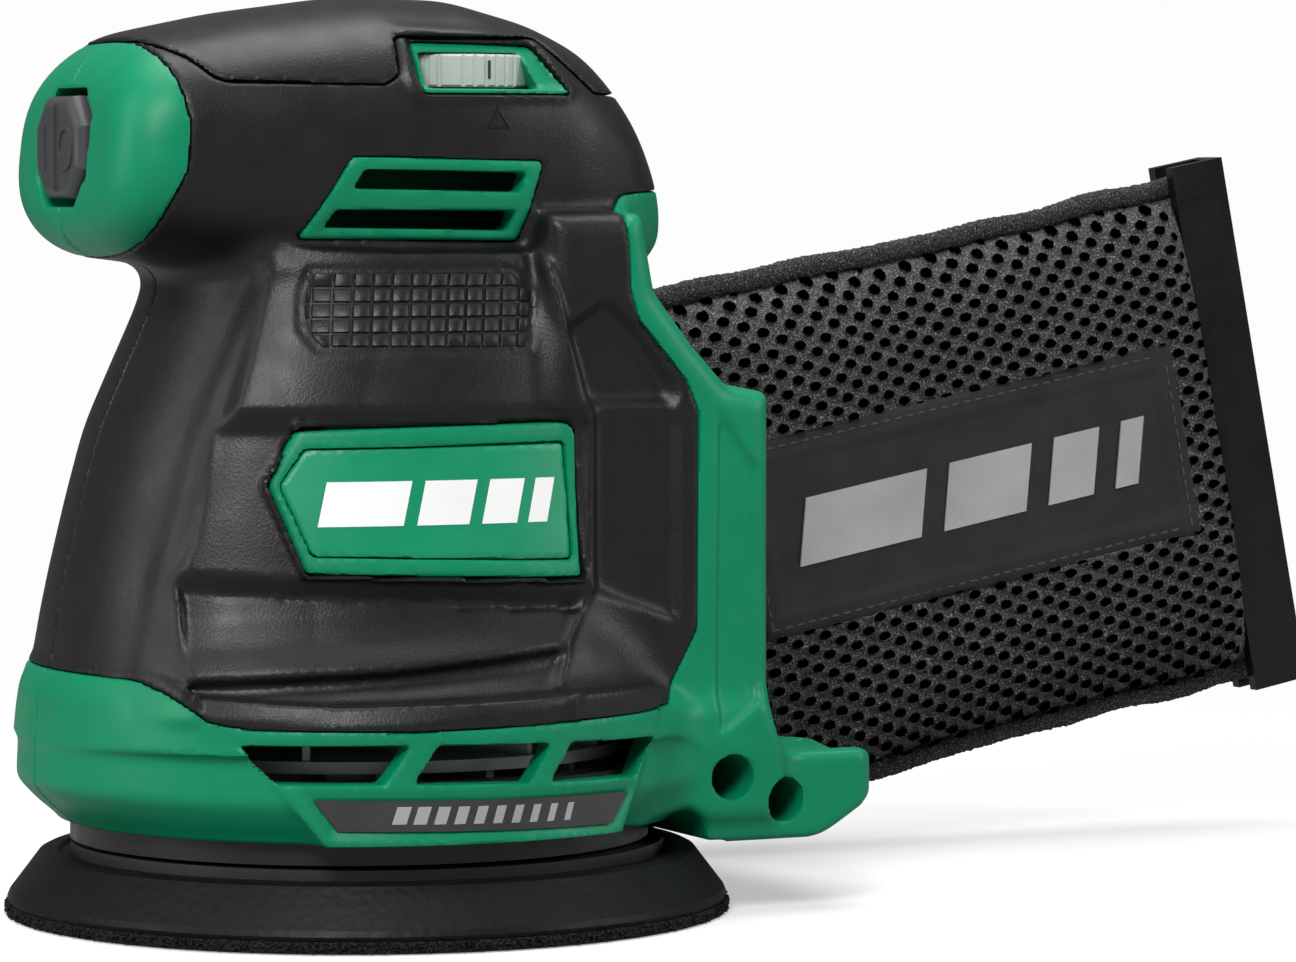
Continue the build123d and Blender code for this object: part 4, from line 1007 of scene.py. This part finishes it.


def dust_bag():
    """The knitted bag: two sides with dented holes, rolled hems, a flat tail and a neck to the collar."""
    pitch = 0.4
    u = np.arange(BAG_U0, BAG_U1 + BAG_TAIL, pitch)
    v_side = np.linspace(BAG_V0, BAG_V1, int((BAG_V1 - BAG_V0) / pitch))
    n = len(v_side)
    v = np.concatenate([v_side, v_side[::-1]])
    hand = np.concatenate([-np.ones(n), np.ones(n)])
    U, V = np.meshgrid(u, v, indexing="ij")
    edge = np.minimum(V - BAG_V0, BAG_V1 - V)
    wave = waves(U, np.zeros_like(U), 3, 21, 1.6) * np.exp(-edge / 9)
    middle = (BAG_V0 + BAG_V1) / 2
    sag = 1 - 0.012 * np.sin((U - BAG_U0) / (BAG_U1 - BAG_U0) * math.pi)
    rise = middle + (V - middle) * sag + wave * np.sign(V - middle)
    P = bag_place(U, rise, hand * bag_thickness(U, edge))
    normal = np.cross(np.roll(P, -1, 1) - np.roll(P, 1, 1), np.gradient(P, axis=0))
    normal /= np.linalg.norm(normal, axis=2, keepdims=True) + 1e-9
    across, up = (U + LEAN[0] * V) / KNIT[0], (V - LEAN[1] * U) / KNIT[1]
    column = np.round(across)
    up = up - column % 2 / 2
    du, dv = (across - column) * KNIT[0], (up - np.round(up)) * KNIT[1]
    away = np.sqrt((du / HOLE[0]) ** 2 + (dv / HOLE[1]) ** 2)
    hole = 1 - step_up(away - 0.9, 0.42)
    free = step_up(edge - HEM, 1) * step_up(U - BAG_U0 - 2, 3) * step_up(BAG_U1 - 3.5 - U, 2)
    covered = (hand < 0) & (U > PATCH_U[0]) & (U < PATCH_U[1]) & (V > PATCH_V[0]) & (V < PATCH_V[1])
    hole = hole * free * ~covered
    fuzz = np.random.default_rng(5).normal(0, FUZZ, U.shape) * ~covered
    slow = waves(U, V, 11, 34, 1.5) * step_up(edge - 6, 6) * step_up(BAG_U1 - 8 - U, 8) * ~covered
    P = P + normal * (slow + fuzz - DENT * hole)[..., None]
    # painted shade on the seams, standing for the shade in their finer knit's holes
    hole = np.maximum(hole, np.where(edge < HEM, HEM_SHADE, 0))
    rings = [P]
    sideways = P[0, :, 1] - BAG_START[1]
    start = np.arctan2(sideways, v)
    for k in range(1, NECK_RINGS + 1):
        t = k / NECK_RINGS
        cu = np.full(2 * n, BAG_U0 - 2.5 * math.sin(t * math.pi / 2))
        circle = bag_place(cu, COLLAR_R * np.cos(start), COLLAR_R * np.sin(start))
        loop = bag_place(cu, v, sideways)
        rings.insert(0, (loop * (1 - t ** 0.8) + circle * t ** 0.8)[None])
    P = np.concatenate(rings)
    hole = np.concatenate([np.zeros((NECK_RINGS, 2 * n)), hole])
    rows, cols = P.shape[:2]
    index = np.arange(rows * cols).reshape(rows, cols)
    nxt = np.roll(index, -1, 1)
    quads = np.stack([index[:-1], nxt[:-1], nxt[1:], index[1:]], -1).reshape(-1, 4)
    caps = []
    for ring_index, order in ((index[0], -1), (index[-1], 1)):
        for i in range(n - 1):
            a, b = ring_index[i], ring_index[i + 1]
            c, d = ring_index[2 * n - 2 - i], ring_index[2 * n - 1 - i]
            caps.append((a, b, c, d)[::order])
    quads = np.concatenate([quads, np.array(caps)])
    # the hole attribute carries the holes' and seams' painted shade to the bag's material
    piece = mesh_piece("mesh_bag", P.reshape(-1, 3), quads, "bag_mesh", "bag", sharp_deg=180,
                       attribute=("hole", hole.ravel()))
    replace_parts(piece, "dust_bag")


def patch_side(u, v, lift):
    """Places a point above the bag's near face, where the label is sewn on."""
    edge = min(v - BAG_V0, BAG_V1 - v)
    y = -float(bag_thickness(np.float64(u), np.float64(edge))) - lift
    return tuple(bag_place(np.float64(u), np.float64(v), np.float64(y)))


def bag_label():
    """The sewn-on label: satin with a folded hem, pale stitches and plain printed stripes."""
    (u0, u1), (v0, v1) = PATCH_U, PATCH_V
    us = np.linspace(u0, u1, 96)
    vs = np.linspace(v0, v1, 38)
    U, V = np.meshgrid(us, vs, indexing="ij")
    border = np.minimum(np.minimum(U - u0, u1 - U), np.minimum(V - v0, v1 - V))
    edge = np.minimum(V - BAG_V0, BAG_V1 - V)
    ripple = waves(U, V, 21, 40, 0.16)
    lift = 0.35 + 0.35 * step_up(4.2 - border, 0.6) - 0.3 * np.exp(-((border - 1.7) / 0.5) ** 2) + ripple
    lift = np.where(border <= 0, 0.15, lift)
    top = bag_place(U, V, -(bag_thickness(U, edge) + lift))
    low = bag_place(U, V, -(bag_thickness(U, edge) - 0.6))
    rows, cols = U.shape
    index = np.arange(rows * cols).reshape(rows, cols)
    quads = [np.stack([index[:-1, :-1], index[1:, :-1], index[1:, 1:], index[:-1, 1:]], -1).reshape(-1, 4)]
    quads.append(quads[0][:, ::-1] + rows * cols)
    loop = np.concatenate([index[:, 0], index[-1, 1:], index[-2::-1, -1], index[0, -2:0:-1]])
    after = np.roll(loop, -1)
    quads.append(np.stack([after, loop, loop + rows * cols, after + rows * cols], -1))
    verts = np.concatenate([top.reshape(-1, 3), low.reshape(-1, 3)])
    piece = mesh_piece("bag_label", verts, np.concatenate(quads), "patch_satin", "bag", sharp_deg=60)
    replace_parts(piece, "bag_patch")
    stitches = Stamp(patch_side)
    inset, dash, step, thin = 1.7, 1.5, 2.5, 0.17
    for (s0, s1), (e0, e1), upright in ((PATCH_U, PATCH_V, False), (PATCH_V, PATCH_U, True)):
        for fixed in (e0 + inset, e1 - inset):
            for i in range(int((s1 - s0 - 2 * inset) / step)):
                a, low, high = s0 + inset + i * step, fixed - thin, fixed + thin
                box = [(a, low), (a + dash, low), (a + dash, high), (a, high)]
                if upright:
                    box = [(v, u) for u, v in (box[0], *box[:0:-1])]
                stitches.mark(box, 0.2, 0.62, 0.1)
    stitches.piece("label_stitches", "thread", "bag", "patch_satin")
    stripes = Stamp(patch_side)
    for a, b in ((72, 98), (103, 121), (126, 136), (141, 146)):
        for strip in bar(a, b, 9.5, 22, 3.6, max(1, int((b - a) / 4))):
            stripes.mark(strip, 0.25, 0.66, 0)
    stripes.piece("label_stripes", "grey_print", "bag", "patch_satin")


dust_bag()
bag_label()


# ======== the pad's hooks
HOOKS = 2600


def hook_fringe():
    """The ragged rim of hook cloth that shows under the pad's edge."""
    low, high = (np.array(v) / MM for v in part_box("hook_sheet"))
    cx, cy, radius = (low[0] + high[0]) / 2, (low[1] + high[1]) / 2, (high[0] - low[0]) / 2
    draw = np.random.default_rng(9)
    sides = [(s + k, s + (k + 1) % 4, s + 4 + (k + 1) % 4, s + 4 + k) for s in (0, 4) for k in range(4)]
    hook = np.array(sides + [(8, 9, 10, 11), (3, 2, 1, 0)])
    verts, faces = [], []
    for _ in range(HOOKS):
        angle, z = draw.uniform(0, 2 * math.pi), draw.uniform(0.15, 1.9)
        reach, width = draw.uniform(0.15, 0.6), draw.uniform(0.12, 0.3)
        lean, drop = draw.normal(0, 0.5), draw.uniform(-0.5, 0.3)
        faces.append(len(verts) + hook)
        rings = ((-0.4, width, 0, 0), (reach * 0.6, width, drop * 0.3, lean * 0.5),
                 (reach, width * 0.5, drop, lean))
        for out, w, dz, da in rings:
            r, at = radius + out, angle + da / radius
            for sx, sz in ((-w, -w), (w, -w), (w, w), (-w, w)):
                a = at + sx / radius
                verts.append((cx + r * math.cos(a), cy + r * math.sin(a), max(0.03, z + dz + sz)))
    mesh_piece("hook_fringe", verts, np.concatenate(faces), "hook_nylon", "pad", sharp_deg=60)


hook_fringe()


# ======== camera, light and floor
FLOOR_FADE = (-0.2, 0.5)    # metres from the middle between which the camera sees the floor start to glow
WHITE, SEEN_WHITE, UNSEEN_GREY = 0.98, 0.93, 0.34
AMBIENT = 0.17              # the world's light on the object; to the camera it is WHITE
LAMPS = [
    ("key", (-0.5, -0.75, 0.75), (0.4, 0.4), 10.8),
    ("top", (0.1, 0.15, 1.1), (0.9, 0.7), 10),
    ("side", (0.95, -0.6, 0.55), (0.2, 0.7), 4.4),
    ("left", (-0.9, 0.1, 0.45), (0.25, 0.8), 3.6),
]
LAMP_AIM = (0.05, 0, 0.08)
FLOOR_DROP = 0.0002         # keeps the floor clear of the pad
LENS, SENSOR, DISTANCE = 159.4, 36.0, 1.0
VIEW_RIGHT, VIEW_UP = 0.0502, 0.07425    # where the camera aims, from the origin


def studio_floor():
    """A pale floor; only the camera sees it grow brighter with distance."""
    floor = bpy.data.meshes.new("floor")
    floor.from_pydata([(-4, -4, 0), (4, -4, 0), (4, 4, 0), (-4, 4, 0)], [], [(0, 1, 2, 3)])
    ground = placed("floor", floor)
    pale, tree, shader = material("floor_white", (0.9, 0.9, 0.9), 0.8, shine=0)
    seen = add(tree, "LightPath").outputs["Is Camera Ray"]
    place = add(tree, "TexCoord").outputs["Object"]
    length = add(tree, "VectorMath", ((0, place),), operation="LENGTH").outputs["Value"]
    far = ranged(tree, length, *FLOOR_FADE)
    seen_far = add(tree, "Math", ((0, seen), (1, far)), operation="MULTIPLY").outputs[0]
    near = mixed(tree, seen, (UNSEEN_GREY,) * 3, (SEEN_WHITE,) * 3)
    put(tree, shader, "Base Color", mixed(tree, seen_far, near, (0, 0, 0)))
    put(tree, shader, "Emission Color", (WHITE,) * 3)
    put(tree, shader, "Emission Strength", seen_far)
    floor.materials.append(pale)
    ground.location.z = -FLOOR_DROP


def setting():
    bpy.context.scene.view_settings.view_transform = "Standard"
    studio_floor()
    world = bpy.data.worlds.new("studio")
    bpy.context.scene.world = world
    world.use_nodes = True
    tree = world.node_tree
    glow = tree.nodes["Background"]
    put(tree, glow, 0, (1, 1, 1))
    put(tree, glow, 1, ranged(tree, add(tree, "LightPath").outputs["Is Camera Ray"], AMBIENT, WHITE, "To"))
    for name, place, size, power in LAMPS:
        data = bpy.data.lights.new(name, "AREA")
        data.shape, data.energy = "RECTANGLE", power
        data.size, data.size_y = size
        lamp = placed(name, data)
        lamp.location = place
        lamp.rotation_mode = "QUATERNION"
        lamp.rotation_quaternion = (Vector(place) - Vector(LAMP_AIM)).to_track_quat("Z", "Y")


def camera():
    """Looks at the side with the dial, from a little in front of it and just above the floor."""
    azimuth, rise = math.radians(-25), math.radians(3)
    level, climb = math.cos(rise), math.sin(rise)
    right = Vector((math.cos(azimuth), math.sin(azimuth), 0))
    back = Vector((math.sin(azimuth) * level, -math.cos(azimuth) * level, climb))
    up = back.cross(right)
    data = bpy.data.cameras.new("camera")
    data.lens, data.sensor_width = LENS, SENSOR
    cam = placed("camera", data)
    turn = Matrix((right, up, back)).transposed().to_4x4()
    cam.matrix_world = Matrix.Translation(VIEW_RIGHT * right + VIEW_UP * up + DISTANCE * back) @ turn
    bpy.context.scene.camera = cam


setting()
camera()
